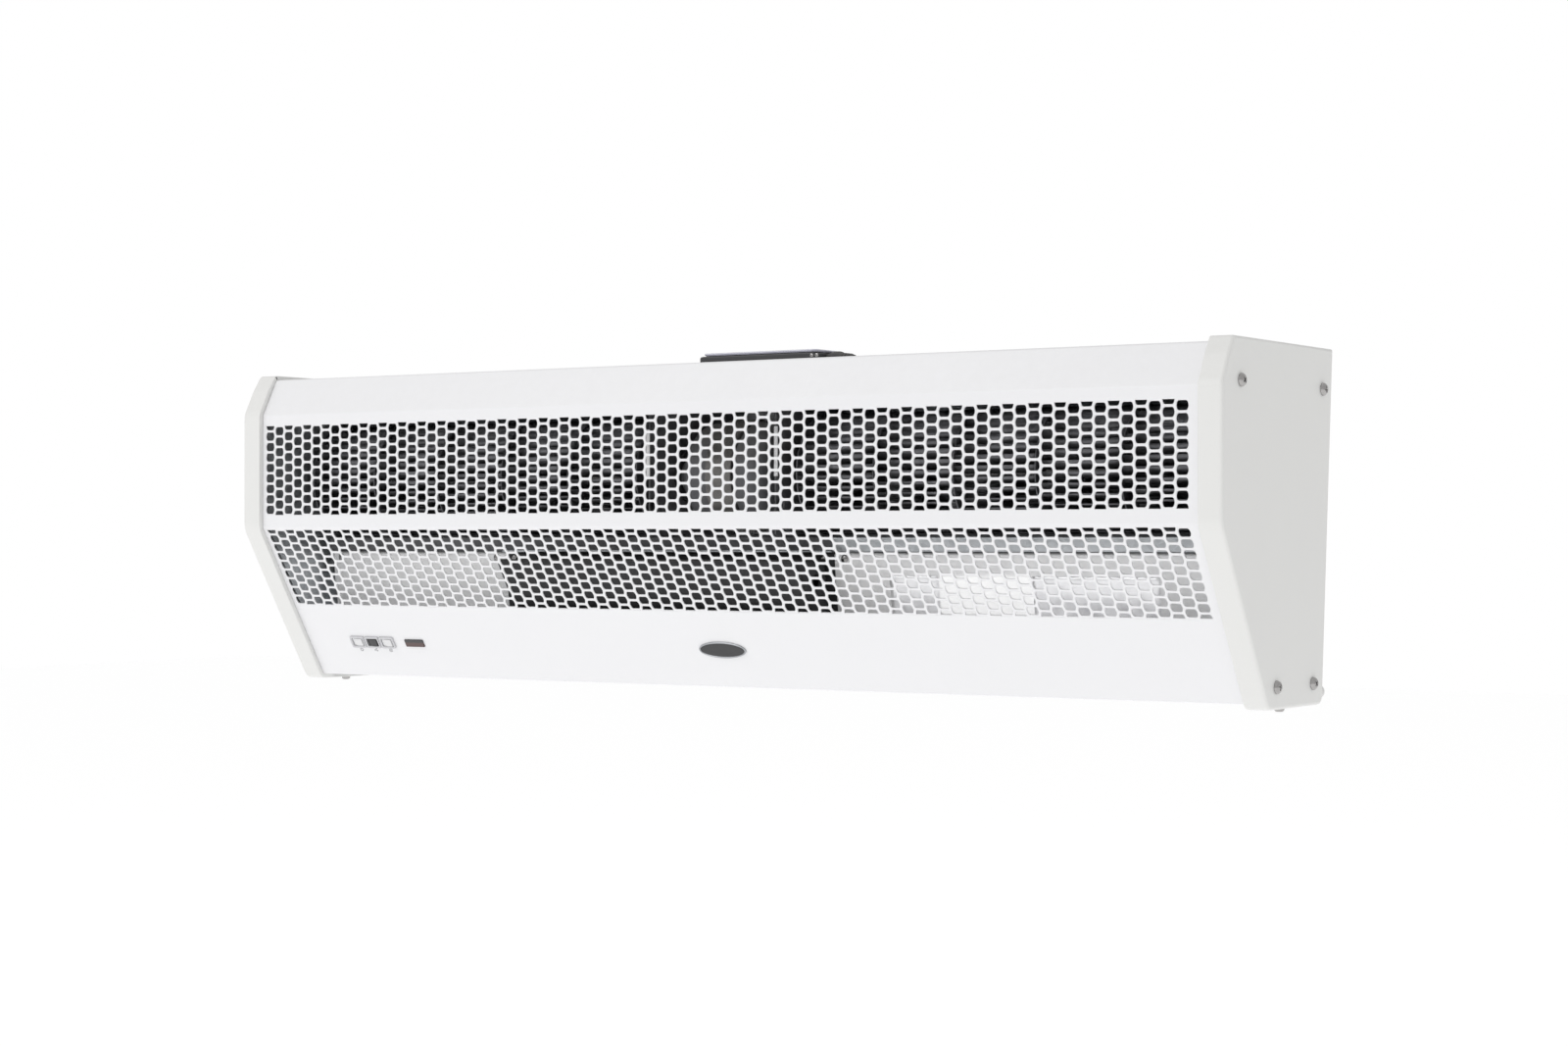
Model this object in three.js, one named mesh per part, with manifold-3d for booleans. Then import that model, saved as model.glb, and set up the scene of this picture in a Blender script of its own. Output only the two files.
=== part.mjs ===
// A warm-air curtain: a long fan heater that hangs on the wall over a doorway.
// Millimetres, +Z up, the front faces -Y and +X is to the right of someone who faces the front.
// Every piece is drawn in the casing's own space, where x = 0 is the middle of the length,
// y = 0 is the foremost plane of the end caps and z = 0 is their underside. The last lines
// move the whole assembly so that its origin lies on the back of the wall bracket.
import * as THREE from 'three';
import { mergeGeometries, mergeVertices } from 'three/addons/utils/BufferGeometryUtils.js';
import Module from 'manifold-3d';

const wasm = await Module();
wasm.setup();

// Casing. An outline runs from the top rear corner over the front to the bottom rear corner.
const LENGTH = 900;
const HEIGHT = 258.8;
const TOP_DEPTH = 194.5;
const FOOT_DEPTH = 173.6;
const FOOT_FRONT = 77.5;
const TOP_FRONT = 19.6;
const FACET = [11, 246.2];
const BEVEL_Z = 225.5;
const SLANT_Z = 128.5;
const CAP_WIDTH = 18.6;
const CAP_WALL = 2.6;
const CAP_RIM = 6.6;
const GAP = 0.3;

// Sheet metal.
const PANEL_SETBACK = 4;
const PANEL_TOP = 255.3;
const PANEL_FOOT = 3.8;
const SHEET = 1.2;
const DUCT_SHEET = 1;
const PLATE = 1.5;

// Perforated fields of the front panel: one hole in three of the real pattern, each larger.
const HOLE_COLUMNS = 27;
const HOLE_ROWS = 3;
const HOLE_PITCH = 31.15;
const HOLE_WIDTH = 26.4;
const HOLE_SHARE = 0.75;
const UPPER_FIELD = [140.5, 215.4];
const LOWER_FIELD = [2.2, 75.6];

// Tangential fan.
const FAN_Y = 98;
const FAN_Z = 170;
const FAN_RADIUS = 48;
const BLADES = 14;
const BLADE_DEPTH = 11;
const BLADE_TILT = 0.6;
const FAN_INNER = 75;
const FAN_OUTER = 417;
const SHAFT_RADIUS = 4;
const SHAFT_END = 436;
const MOTOR_RADIUS = 42;
const MOTOR_HALF = 44;
const MOTOR_BOSS = 14;
const MOTOR_PLATE_X = 58.5;
const MOTOR_PLATE_FRONT = 46;
const MOTOR_PLATE_Z = [122, 250];
const END_PLATE_X = 427;

// Air duct below the fan.
const DUCT_REAR_Y = 157.7;
const DUCT_FOOT_Z = 12;
const TONGUE = [[82, 118], [74, 114]];
const DUCT_FRONT_FOOT = 90;
const HEATER_X = [90, 405];
const HEATER_Y = [97, 151];
const HEATER_Z = [62, 86];

// Outlet vanes.
const VANE_Y = [107, 143];
const VANE_Z = 24;
const VANE_CHORD = 34;
const VANE_HALF_LENGTH = 424;
const VANE_PIN = 2;
const LINK_X = -300;
const LINK_ARM = 9;

// Controls on the slanted face, at this distance down the slope from its bend.
const CONTROL_S = 112.4;
const SWITCH_X = [-375.5, -359.3, -343.1];
const ROCKER_TILT = THREE.MathUtils.degToRad(8);
const WINDOW_X = -313.2;

// Wall bracket and side screws.
const WALL_Y = 200;
const BRACKET_HALF = 340;
const BRACKET_Z = [110, 215];
const CAP_SCREWS = [[30, 228.5], [174, 228.5], [90, 16], [155, 16]];
const FOOT_SCREW_Y = 118;
const BUMPER_Z = 9;
const BUMPER_LENGTH = 5;

const SLANT = Math.atan2(FOOT_FRONT, SLANT_Z);
const BEVEL = Math.atan2(FACET[0], FACET[1] - BEVEL_Z);
const CASE = [
  [TOP_DEPTH, HEIGHT], [TOP_FRONT, HEIGHT], FACET, [0, BEVEL_Z], [0, SLANT_Z],
  [FOOT_FRONT, 0], [FOOT_DEPTH, 0],
];

const casing = new THREE.Group();

// ---------------------------------------------------------------- geometry helpers

function solid(geometry) {
  const bare = geometry.clone();
  bare.deleteAttribute('normal');
  bare.deleteAttribute('uv');
  const merged = mergeVertices(bare, 1e-4);
  return new wasm.Manifold(new wasm.Mesh({
    numProp: 3,
    vertProperties: new Float32Array(merged.attributes.position.array),
    triVerts: new Uint32Array(merged.index.array),
  }));
}

function surface(manifold) {
  const mesh = manifold.getMesh();
  const geometry = new THREE.BufferGeometry();
  geometry.setAttribute('position', new THREE.BufferAttribute(mesh.vertProperties, 3));
  geometry.setIndex(new THREE.BufferAttribute(mesh.triVerts, 1));
  geometry.computeVertexNormals();
  return geometry;
}

function join(geometries) {
  return surface(geometries.map(solid).reduce((whole, piece) => whole.add(piece)));
}

// The cutters of one cut never touch each other, so they are one mesh of separate bodies.
function cut(geometry, cutters) {
  const tools = cutters.map((cutter) => {
    const plain = cutter.index ? cutter.toNonIndexed() : cutter.clone();
    plain.deleteAttribute('uv');
    plain.deleteAttribute('normal');
    return plain;
  });
  return surface(solid(geometry).subtract(solid(mergeGeometries(tools))));
}

const flatShape = (points) => new THREE.Shape(points.map(([u, v]) => new THREE.Vector2(u, v)));

// An outline of [y, z] points, extruded along the casing from x = from to x = to.
function alongX(shape, from, to, curveSegments = 3) {
  const outline = Array.isArray(shape) ? flatShape(shape) : shape;
  const depth = to - from;
  const geometry = new THREE.ExtrudeGeometry(outline, { depth, bevelEnabled: false, curveSegments });
  const turn = new THREE.Matrix4().makeBasis(
    new THREE.Vector3(0, 1, 0), new THREE.Vector3(0, 0, 1), new THREE.Vector3(1, 0, 0),
  );
  return geometry.applyMatrix4(turn).translate(from, 0, 0);
}

function block([x0, x1], [y0, y1], [z0, z1]) {
  const geometry = new THREE.BoxGeometry(x1 - x0, y1 - y0, z1 - z0);
  return geometry.translate((x0 + x1) / 2, (y0 + y1) / 2, (z0 + z1) / 2);
}

function rodX(radius, [x0, x1], y, z, sides = 12) {
  const geometry = new THREE.CylinderGeometry(radius, radius, x1 - x0, sides);
  return geometry.rotateZ(Math.PI / 2).translate((x0 + x1) / 2, y, z);
}

function lathe(profile, sides) {
  return new THREE.LatheGeometry(profile.map(([r, h]) => new THREE.Vector2(r, h)), sides);
}

// Moves each edge of a path sideways by a distance, to the left of its direction.
function offset(points, distance, closed) {
  const count = points.length;
  const edges = points.map((point, i) => {
    const next = points[(i + 1) % count];
    const length = Math.hypot(next[0] - point[0], next[1] - point[1]);
    const along = [(next[0] - point[0]) / length, (next[1] - point[1]) / length];
    return { along, start: [point[0] - along[1] * distance, point[1] + along[0] * distance] };
  });
  return points.map((point, i) => {
    const into = edges[(i + count - 1) % count];
    const out = edges[i];
    if (!closed && i === 0) return out.start;
    if (!closed && i === count - 1) {
      return [point[0] - into.along[1] * distance, point[1] + into.along[0] * distance];
    }
    const turn = into.along[0] * out.along[1] - into.along[1] * out.along[0];
    const gap = [out.start[0] - into.start[0], out.start[1] - into.start[1]];
    const reach = (gap[0] * out.along[1] - gap[1] * out.along[0]) / turn;
    return [into.start[0] + into.along[0] * reach, into.start[1] + into.along[1] * reach];
  });
}

const inset = (points, distance) => offset(points, distance, true);

// A bent sheet: its outer face follows the path, its thickness lies to the path's left.
const bentSheet = (path, thickness) => [...path, ...offset(path, thickness, false).reverse()];

// A closed outline whose corners are rounded by the given radii, 0 for a sharp one.
function rounded(points, radii) {
  const shape = new THREE.Shape();
  points.forEach((point, i) => {
    const before = points[(i + points.length - 1) % points.length];
    const after = points[(i + 1) % points.length];
    const toward = (target) => {
      const length = Math.hypot(target[0] - point[0], target[1] - point[1]);
      return point.map((value, axis) => value + (target[axis] - value) * radii[i] / length);
    };
    const start = toward(before);
    if (i === 0) shape.moveTo(...start);
    else shape.lineTo(...start);
    if (radii[i] > 0) shape.quadraticCurveTo(...point, ...toward(after));
  });
  shape.closePath();
  return shape;
}

const paint = (color, roughness, metalness = 0) => ({ color, roughness, metalness });
const WHITE = paint(0xf0f0f2, 0.4);
const GALVANISED = paint(0xb9bcbf, 0.42, 0.9);
const CHROME = paint(0xd8d8da, 0.15, 1);
const BLACK = paint(0x2a2a2c, 0.5);
const RUBBER = paint(0x1d1d1e, 0.9);

function add(name, geometry, look, parent = casing) {
  const mesh = new THREE.Mesh(geometry, new THREE.MeshStandardMaterial(look));
  mesh.name = name;
  parent.add(mesh);
  return mesh;
}

// Adds the same piece at both ends, the left one mirrored.
function addPair(name, build, look) {
  for (const [side, sign] of [['left', -1], ['right', 1]]) {
    const geometry = build(sign);
    add(`${name}_${side}`, geometry, look);
  }
}

const span = (sign, near, far) => (sign > 0 ? [near, far] : [-far, -near]);

// ---------------------------------------------------------------- end caps

const capEdge = LENGTH / 2 - CAP_WIDTH;
const capRadii = [0, 2, 2, 4, 6, 5, 7];

addPair('end_cap', (sign) => {
  const shell = alongX(rounded(CASE, capRadii), ...span(sign, capEdge, LENGTH / 2));
  const pocket = alongX(inset(CASE, CAP_RIM), ...span(sign, capEdge - 1, LENGTH / 2 - CAP_WALL));
  const bosses = CAP_SCREWS.map(([y, z]) => rodX(4.6, span(sign, capEdge + 1, LENGTH / 2 - 1), y, z));
  const bores = CAP_SCREWS.map(([y, z]) => rodX(2.4, span(sign, capEdge - 2, LENGTH / 2 + 1), y, z, 8));
  const footBore = new THREE.CylinderGeometry(1.9, 1.9, CAP_RIM + 2, 8).rotateX(Math.PI / 2);
  footBore.translate(sign * (LENGTH / 2 - 10), FOOT_SCREW_Y, CAP_RIM / 2);
  return cut(join([cut(shell, [pocket]), ...bosses]), [...bores, footBore]);
}, paint(0xf1f1f2, 0.38));

// ---------------------------------------------------------------- cap screws

const SCREW_HEAD = [[4.8, 0], [4.5, 1.8], [2.8, 2.7], [0, 3]];
const SCREW_REACH = LENGTH / 2 - END_PLATE_X + 1;

for (const [side, sign] of [['left', -1], ['right', 1]]) {
  CAP_SCREWS.forEach(([y, z], i) => {
    const profile = [[0, -SCREW_REACH], [1.9, -SCREW_REACH], [1.9, 0], ...SCREW_HEAD];
    const screw = add(`cap_screw_${side}_${i + 1}`, lathe(profile, 10), CHROME);
    screw.rotation.z = -sign * Math.PI / 2;
    screw.position.set(sign * (LENGTH / 2 + GAP), y, z);
  });
  const profile = [[0, -CAP_RIM], [1.4, -CAP_RIM], [1.4, 0], [3.9, 0], [3.6, 1.8], [0, 2.6]];
  const screw = add(`foot_screw_${side}`, lathe(profile, 10), CHROME);
  screw.rotation.x = -Math.PI / 2;
  screw.position.set(sign * (LENGTH / 2 - 10), FOOT_SCREW_Y, -GAP);
}

// ---------------------------------------------------------------- front panel

const bevelY = (z) => PANEL_SETBACK / Math.cos(BEVEL) + (z - BEVEL_Z) * Math.tan(BEVEL);
const slantY = (z) => PANEL_SETBACK / Math.cos(SLANT) + (SLANT_Z - z) * Math.tan(SLANT);
const bevelBend = BEVEL_Z - (bevelY(BEVEL_Z) - PANEL_SETBACK) / Math.tan(BEVEL);
const slantBend = SLANT_Z + (slantY(SLANT_Z) - PANEL_SETBACK) / Math.tan(SLANT);
const sheetEnd = capEdge - GAP;
const PANEL_FLANGE = 14;

// The slanted face's own space: x along the casing, y up the slope, z outwards from the sheet.
const slope = new THREE.Group();
slope.rotation.x = Math.PI / 2 + SLANT;
slope.position.set(0, PANEL_SETBACK, slantBend);
slope.updateMatrix();
casing.add(slope);

const panelPath = [
  [bevelY(PANEL_TOP) + PANEL_FLANGE, PANEL_TOP], [bevelY(PANEL_TOP), PANEL_TOP],
  [PANEL_SETBACK, bevelBend], [PANEL_SETBACK, slantBend],
  [slantY(PANEL_FOOT), PANEL_FOOT], [slantY(PANEL_FOOT) + 11, PANEL_FOOT],
];

// One field of six-sided holes in an upright plane, between two heights.
function holeField([bottom, top]) {
  const rowPitch = (top - bottom) / HOLE_ROWS;
  const half = HOLE_WIDTH / 2;
  const tall = rowPitch * HOLE_SHARE / 2;
  const holes = [];
  for (let column = 0; column < HOLE_COLUMNS; column += 1) {
    for (let row = 0; row < HOLE_ROWS; row += 1) {
      const x = (column - (HOLE_COLUMNS - 1) / 2) * HOLE_PITCH;
      const z = bottom + (row + 0.5) * rowPitch;
      const outline = [
        [half, 0], [half - 4, tall], [4 - half, tall],
        [-half, 0], [4 - half, -tall], [half - 4, -tall],
      ];
      const hole = new THREE.ExtrudeGeometry(flatShape(outline), { depth: 8, bevelEnabled: false });
      holes.push(hole.translate(x, z, 0));
    }
  }
  return mergeGeometries(holes);
}

const SWITCH_HOLE = [13.8, 9.6];
const WINDOW_HOLE = [17.6, 5];

function slopeBlock(x, s, [width, height], [low, high]) {
  return block([x - width / 2, x + width / 2], [-s - height / 2, -s + height / 2], [low, high]);
}

const slopeCuts = [
  holeField([-LOWER_FIELD[1], -LOWER_FIELD[0]]).translate(0, 0, -4),
  ...SWITCH_X.map((x) => slopeBlock(x, CONTROL_S, SWITCH_HOLE, [-4, 4]).toNonIndexed()),
  slopeBlock(WINDOW_X, CONTROL_S, WINDOW_HOLE, [-4, 4]).toNonIndexed(),
];
const upperCut = holeField(UPPER_FIELD).rotateX(Math.PI / 2).translate(0, PANEL_SETBACK + 5, 0);

add('front_panel', cut(
  alongX(bentSheet(panelPath, SHEET), -sheetEnd, sheetEnd),
  [upperCut, ...slopeCuts.map((tool) => tool.applyMatrix4(slope.matrix))],
), WHITE);

// ---------------------------------------------------------------- rear chassis

const rearY = (z) => FOOT_DEPTH + (TOP_DEPTH - FOOT_DEPTH) * z / HEIGHT - 3;
const CHASSIS_TOP = PANEL_TOP - SHEET - GAP;
const TERMINAL_HOLE = { x: [-24, 64], y: [90, 114] };

const chassisPath = [
  [DUCT_REAR_Y + 3, PANEL_FOOT], [rearY(PANEL_FOOT), PANEL_FOOT],
  [rearY(CHASSIS_TOP), CHASSIS_TOP], [bevelY(PANEL_TOP) + 3, CHASSIS_TOP],
];
const terminalCut = block(TERMINAL_HOLE.x, TERMINAL_HOLE.y, [CHASSIS_TOP - 5, CHASSIS_TOP + 5]);
add('rear_chassis', cut(alongX(bentSheet(chassisPath, SHEET), -sheetEnd, sheetEnd), [terminalCut]), WHITE);

// ---------------------------------------------------------------- end plates and bushes

const BUSH_RADIUS = 10;

addPair('end_plate', (sign) => {
  const across = span(sign, END_PLATE_X, END_PLATE_X + PLATE);
  const through = span(sign, END_PLATE_X - 2, END_PLATE_X + PLATE + 2);
  const screwHoles = CAP_SCREWS.map(([y, z]) => rodX(2.4, through, y, z, 8));
  const pinHoles = VANE_Y.map((y) => rodX(VANE_PIN + 0.35, through, y, VANE_Z, 12));
  const shaftHole = rodX(BUSH_RADIUS - 2, through, FAN_Y, FAN_Z, 12);
  return cut(alongX(inset(CASE, CAP_RIM), ...across), [...screwHoles, ...pinHoles, shaftHole]);
}, GALVANISED);

addPair('shaft_bush', (sign) => {
  const plain = rodX(BUSH_RADIUS, span(sign, END_PLATE_X - 6, END_PLATE_X - GAP), FAN_Y, FAN_Z, 16);
  const neck = rodX(BUSH_RADIUS - 2.5, span(sign, END_PLATE_X - 3, END_PLATE_X + 5), FAN_Y, FAN_Z, 12);
  const bore = rodX(SHAFT_RADIUS + 0.35, span(sign, END_PLATE_X - 9, END_PLATE_X + 9), FAN_Y, FAN_Z);
  return cut(join([plain, neck]), [bore]);
}, paint(0x8a6a3c, 0.55));

// ---------------------------------------------------------------- motor

const motorBody = join([
  rodX(MOTOR_RADIUS, [-MOTOR_HALF, MOTOR_HALF], FAN_Y, FAN_Z, 20),
  rodX(MOTOR_RADIUS + 2.5, [-12, 12], FAN_Y, FAN_Z, 20),
  rodX(MOTOR_BOSS, [-MOTOR_PLATE_X - 5, MOTOR_PLATE_X + 5], FAN_Y, FAN_Z, 16),
]);
const motorBore = rodX(SHAFT_RADIUS + 0.35, [-80, 80], FAN_Y, FAN_Z);
add('fan_motor', cut(motorBody, [motorBore]), paint(0x4b4c50, 0.45, 0.6));

addPair('motor_plate', (sign) => {
  const across = span(sign, MOTOR_PLATE_X, MOTOR_PLATE_X + PLATE);
  const through = span(sign, MOTOR_PLATE_X - 2, MOTOR_PLATE_X + 4);
  const hole = rodX(MOTOR_BOSS + 0.4, through, FAN_Y, FAN_Z, 16);
  const outline = [
    [MOTOR_PLATE_FRONT, MOTOR_PLATE_Z[0]], [rearY(MOTOR_PLATE_Z[0]) - 5, MOTOR_PLATE_Z[0]],
    [rearY(MOTOR_PLATE_Z[1]) - 5, MOTOR_PLATE_Z[1]], [MOTOR_PLATE_FRONT, MOTOR_PLATE_Z[1]],
  ];
  return cut(alongX(outline, ...across), [hole]);
}, GALVANISED);

// ---------------------------------------------------------------- rotor

add('rotor_shaft', rodX(SHAFT_RADIUS, [-SHAFT_END, SHAFT_END], FAN_Y, FAN_Z), CHROME);

addPair('impeller', (sign) => {
  const rings = [FAN_INNER, (FAN_INNER + FAN_OUTER) / 2, FAN_OUTER - 2].map(
    (x) => rodX(FAN_RADIUS, span(sign, x, x + 2), 0, 0, 24),
  );
  const blades = Array.from({ length: BLADES }, (_, i) => {
    const blade = block(span(sign, FAN_INNER + 0.5, FAN_OUTER - 0.5), [-0.6, 0.6], [0, BLADE_DEPTH]);
    blade.translate(0, 0, -BLADE_DEPTH / 2).rotateX(BLADE_TILT);
    blade.translate(0, 0, FAN_RADIUS - BLADE_DEPTH / 2 - 1.5);
    return blade.rotateX(i / BLADES * 2 * Math.PI);
  });
  const hub = rodX(9, span(sign, FAN_INNER - 2, FAN_INNER + 14), 0, 0);
  const tail = rodX(9, span(sign, FAN_OUTER - 10, FAN_OUTER), 0, 0);
  const bore = rodX(SHAFT_RADIUS + 0.35, span(sign, FAN_INNER - 20, FAN_OUTER + 20), 0, 0);
  return cut(join([...rings, ...blades, hub, tail]), [bore]).translate(0, FAN_Y, FAN_Z);
}, paint(0x33353a, 0.45, 0.4));

// ---------------------------------------------------------------- scrolls behind the fan

const SCROLL_FROM = THREE.MathUtils.degToRad(-20);
const SCROLL_TO = THREE.MathUtils.degToRad(130);
const SCROLL_STEPS = 12;

// A spiral that widens from the top of the fan to the duct's rear wall, then runs down.
const scrollPath = [[DUCT_REAR_Y, DUCT_FOOT_Z]];
for (let i = SCROLL_STEPS; i >= 0; i -= 1) {
  const angle = SCROLL_FROM + (SCROLL_TO - SCROLL_FROM) * i / SCROLL_STEPS;
  const radius = FAN_RADIUS + 6 + 24 * i / SCROLL_STEPS;
  scrollPath.push([FAN_Y + radius * Math.sin(angle), FAN_Z + radius * Math.cos(angle)]);
}
addPair('scroll', (sign) => alongX(
  bentSheet(scrollPath, -DUCT_SHEET), ...span(sign, MOTOR_PLATE_X + 6, END_PLATE_X - 2),
), GALVANISED);

// ---------------------------------------------------------------- duct front walls

const DUCT_PLATES = { left: [-425, -228.5], centre: [-228, 92.5], right: [93, 425] };
const ductPath = [...TONGUE, [DUCT_FRONT_FOOT, DUCT_FOOT_Z]];

for (const [side, across] of Object.entries(DUCT_PLATES)) {
  const look = side === 'centre' ? BLACK : paint(0xc6c9cc, 0.4, 0.7);
  add(`duct_plate_${side}`, alongX(bentSheet(ductPath, DUCT_SHEET), ...across), look);
}

// A blank rating label, flat on the right plate.
const ductLean = Math.atan2(DUCT_FRONT_FOOT - TONGUE[1][0], TONGUE[1][1] - DUCT_FOOT_Z);
const label = add('blank_label', new THREE.BoxGeometry(78, 0.4, 28), paint(0xfafafa, 0.5));
label.position.set(224, TONGUE[1][0] + 36 * Math.tan(ductLean) - 0.6, TONGUE[1][1] - 36);
label.rotation.x = ductLean;

// ---------------------------------------------------------------- heater packs and rails

const FINS = 13;

addPair('heater_pack', (sign) => {
  const across = span(sign, ...HEATER_X);
  const bars = [0.2, 0.5, 0.8].map((share) => {
    const y = THREE.MathUtils.lerp(...HEATER_Y, share);
    return block(across, [y - 4, y + 4], [HEATER_Z[0] + 3, HEATER_Z[1] - 3]);
  });
  const fins = Array.from({ length: FINS }, (_, i) => {
    const x = THREE.MathUtils.lerp(across[0] + 3, across[1] - 3, i / (FINS - 1));
    return block([x - 1, x + 1], HEATER_Y, HEATER_Z);
  });
  return join([...bars, ...fins]);
}, paint(0xa9abad, 0.4, 0.8));

for (const [side, y] of [['front', HEATER_Y[0] - 2.5], ['rear', HEATER_Y[1] + 1]]) {
  const rail = block([-424, 424], [y, y + 1.5], [HEATER_Z[0] - 4, HEATER_Z[1] + 4]);
  add(`heater_rail_${side}`, rail, GALVANISED);
}

const thermostatProfile = [[0, 0], [9, 0], [9, 5], [6, 5], [6, 9], [0, 9]];
const thermostat = add('overheat_thermostat', lathe(thermostatProfile, 14), BLACK);
thermostat.position.set(0, HEATER_Y[0] - 0.5, (HEATER_Z[0] + HEATER_Z[1]) / 2);

// ---------------------------------------------------------------- outlet vanes and their link

const NOTCH_HALF = 5;
const LUG = 1.5;

VANE_Y.forEach((y, i) => {
  const half = VANE_CHORD / 2;
  const outline = [
    [0.7, half], [-0.7, half], [-3.1, 1.8], [-3.1, -1.8],
    [-0.7, -half], [0.7, -half], [3.1, -1.8], [3.1, 1.8],
  ];
  const blade = alongX(outline, -VANE_HALF_LENGTH, VANE_HALF_LENGTH);
  const notch = block([LINK_X - NOTCH_HALF, LINK_X + NOTCH_HALF], [-9, 9], [3.2, half + 2]);
  const lug = block([LINK_X, LINK_X + LUG], [-3, 3], [0, LINK_ARM + 3.5]);
  const lugHole = rodX(1.8, [LINK_X - 3, LINK_X + 5], 0, LINK_ARM, 12);
  const pinEnds = [VANE_HALF_LENGTH - 2, SHAFT_END - 4];
  const pins = [-1, 1].map((sign) => rodX(VANE_PIN, span(sign, ...pinEnds), 0, 0, 12));
  const vane = add(
    `outlet_vane_${i === 0 ? 'front' : 'rear'}`,
    cut(join([cut(blade, [notch]), lug, ...pins]), [lugHole]), WHITE,
  );
  vane.position.set(0, y, VANE_Z);
});

const linkBar = block([LINK_X - GAP - 1.5, LINK_X - GAP], [VANE_Y[0] - 4, VANE_Y[1] + 4], [-2.5, 2.5]);
const linkPins = VANE_Y.map((y) => rodX(1.4, [LINK_X - 1, LINK_X + LUG + 1], y, 0, 12));
const link = add('vane_link', join([linkBar, ...linkPins]), CHROME);
link.position.z = VANE_Z + LINK_ARM;

// ---------------------------------------------------------------- control box in the middle

const BOX_X = [-200, 87];
const BOX_WALL = 1.5;
const boxOutline = [[73, 104], [30, 104], [75.5, 28], [84, 28]];
const hollowOutline = [
  [90, 104 - BOX_WALL], [33.6, 104 - BOX_WALL], [77.3, 28 + BOX_WALL], [90, 28 + BOX_WALL],
];

add('control_box', cut(
  alongX(boxOutline, ...BOX_X),
  [alongX(hollowOutline, BOX_X[0] + BOX_WALL, BOX_X[1] - BOX_WALL)],
), BLACK);

const board = add('control_board', new THREE.BoxGeometry(150, 1.6, 50), paint(0x1f5a38, 0.5));
board.position.set(-120, 71.5, 74);
board.rotation.x = ductLean;

add('motor_capacitor', rodX(11, [0, 62], 62, 84, 14), paint(0xd9d9d6, 0.45));

// ---------------------------------------------------------------- rocker switches and receiver

const BEZEL = [15.4, 11];
const BODY = [13.2, 9];
const WELL = [12, 7.4];
const PIVOT_DEPTH = 1;

SWITCH_X.forEach((x, i) => {
  const plate = slopeBlock(x, CONTROL_S, BEZEL, [GAP, 1.6]);
  const body = slopeBlock(x, CONTROL_S, BODY, [-12, 1]);
  const well = slopeBlock(x, CONTROL_S, WELL, [-8.5, 3]);
  add(`switch_bezel_${i + 1}`, cut(join([plate, body]), [well]), paint(0xdcdcde, 0.35), slope);

  const key = [[5.4, 1.9], [0, 2.6], [-5.4, 1.9], [-5.4, -1.6], [-2, -4.6], [2, -4.6], [5.4, -1.6]];
  const solidKey = new THREE.ExtrudeGeometry(flatShape(key), { depth: 6.8, bevelEnabled: false });
  solidKey.rotateX(Math.PI / 2).translate(0, 3.4, 0);
  const rocker = add(`switch_rocker_${i + 1}`, solidKey, i === 1 ? BLACK : paint(0xe4e4e6, 0.35), slope);
  rocker.rotation.y = -ROCKER_TILT;
  rocker.position.set(x, -CONTROL_S, -PIVOT_DEPTH);
});

add('receiver_window', join([
  slopeBlock(WINDOW_X, CONTROL_S, [20, 7], [GAP, 1.2]),
  slopeBlock(WINDOW_X, CONTROL_S, [17, 4.4], [-3, 1]),
]), paint(0x2c1a1a, 0.15), slope);
add('receiver_board', slopeBlock(WINDOW_X, CONTROL_S, [30, 14], [-7, -5.4]), paint(0x1f5a38, 0.5), slope);

// A blank badge in the middle of the lower band.
const badgeShape = new THREE.Shape();
badgeShape.absellipse(0, 0, 22, 7.5, 0, 2 * Math.PI);
const badge = new THREE.ExtrudeGeometry(badgeShape, { depth: 0.9, bevelEnabled: false, curveSegments: 10 });
add('blank_badge', badge.translate(0, -CONTROL_S + 1, GAP), paint(0xa8abb0, 0.3, 0.8), slope);

// ---------------------------------------------------------------- mains connection on the top

const COVER_X = [-36, 74];
const COVER_Y = [80, 124];
const COVER_TOP = 264.2;
const coverFloor = CHASSIS_TOP + GAP;

const shrink = ([low, high], wall) => [low + wall, high - wall];
const coverHollow = block(shrink(COVER_X, 2), shrink(COVER_Y, 2), [coverFloor - 1, COVER_TOP - 2]);
add('terminal_cover', cut(block(COVER_X, COVER_Y, [coverFloor, COVER_TOP]), [coverHollow]), BLACK);

const LID_TOP = 266.6;
const lidOutline = [
  [COVER_Y[1], COVER_TOP + GAP], [COVER_Y[1], LID_TOP],
  [COVER_Y[0] + 3, LID_TOP], [COVER_Y[0], COVER_TOP + GAP],
];
add('terminal_lid', alongX(lidOutline, COVER_X[0] + 4, COVER_X[1]), paint(0xc9c9da, 0.2));

// The cable inlet: a domed clamp, then a boot that tapers to the cable's size.
const glandProfile = [[0, 0], [8, 0], [8, 3], [10.5, 5], [10.5, 9], [7, 12], [6.2, 16], [4.6, 21], [0, 21]];
const gland = add('cable_gland', lathe(glandProfile, 14), RUBBER);
gland.scale.set(1, 1, 0.48);
gland.rotation.z = -Math.PI / 2;
gland.position.set(COVER_X[1] + GAP, (COVER_Y[0] + COVER_Y[1]) / 2, 260.4);

add('terminal_block', join([
  block([-24, 56], [93, 111], [232, 244]),
  ...Array.from({ length: 5 }, (_, i) => block([-22 + i * 15.6, -10 + i * 15.6], [96, 108], [240, 252])),
]), paint(0xd8d6cc, 0.5));

// ---------------------------------------------------------------- wall bracket and rear bumpers

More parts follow.
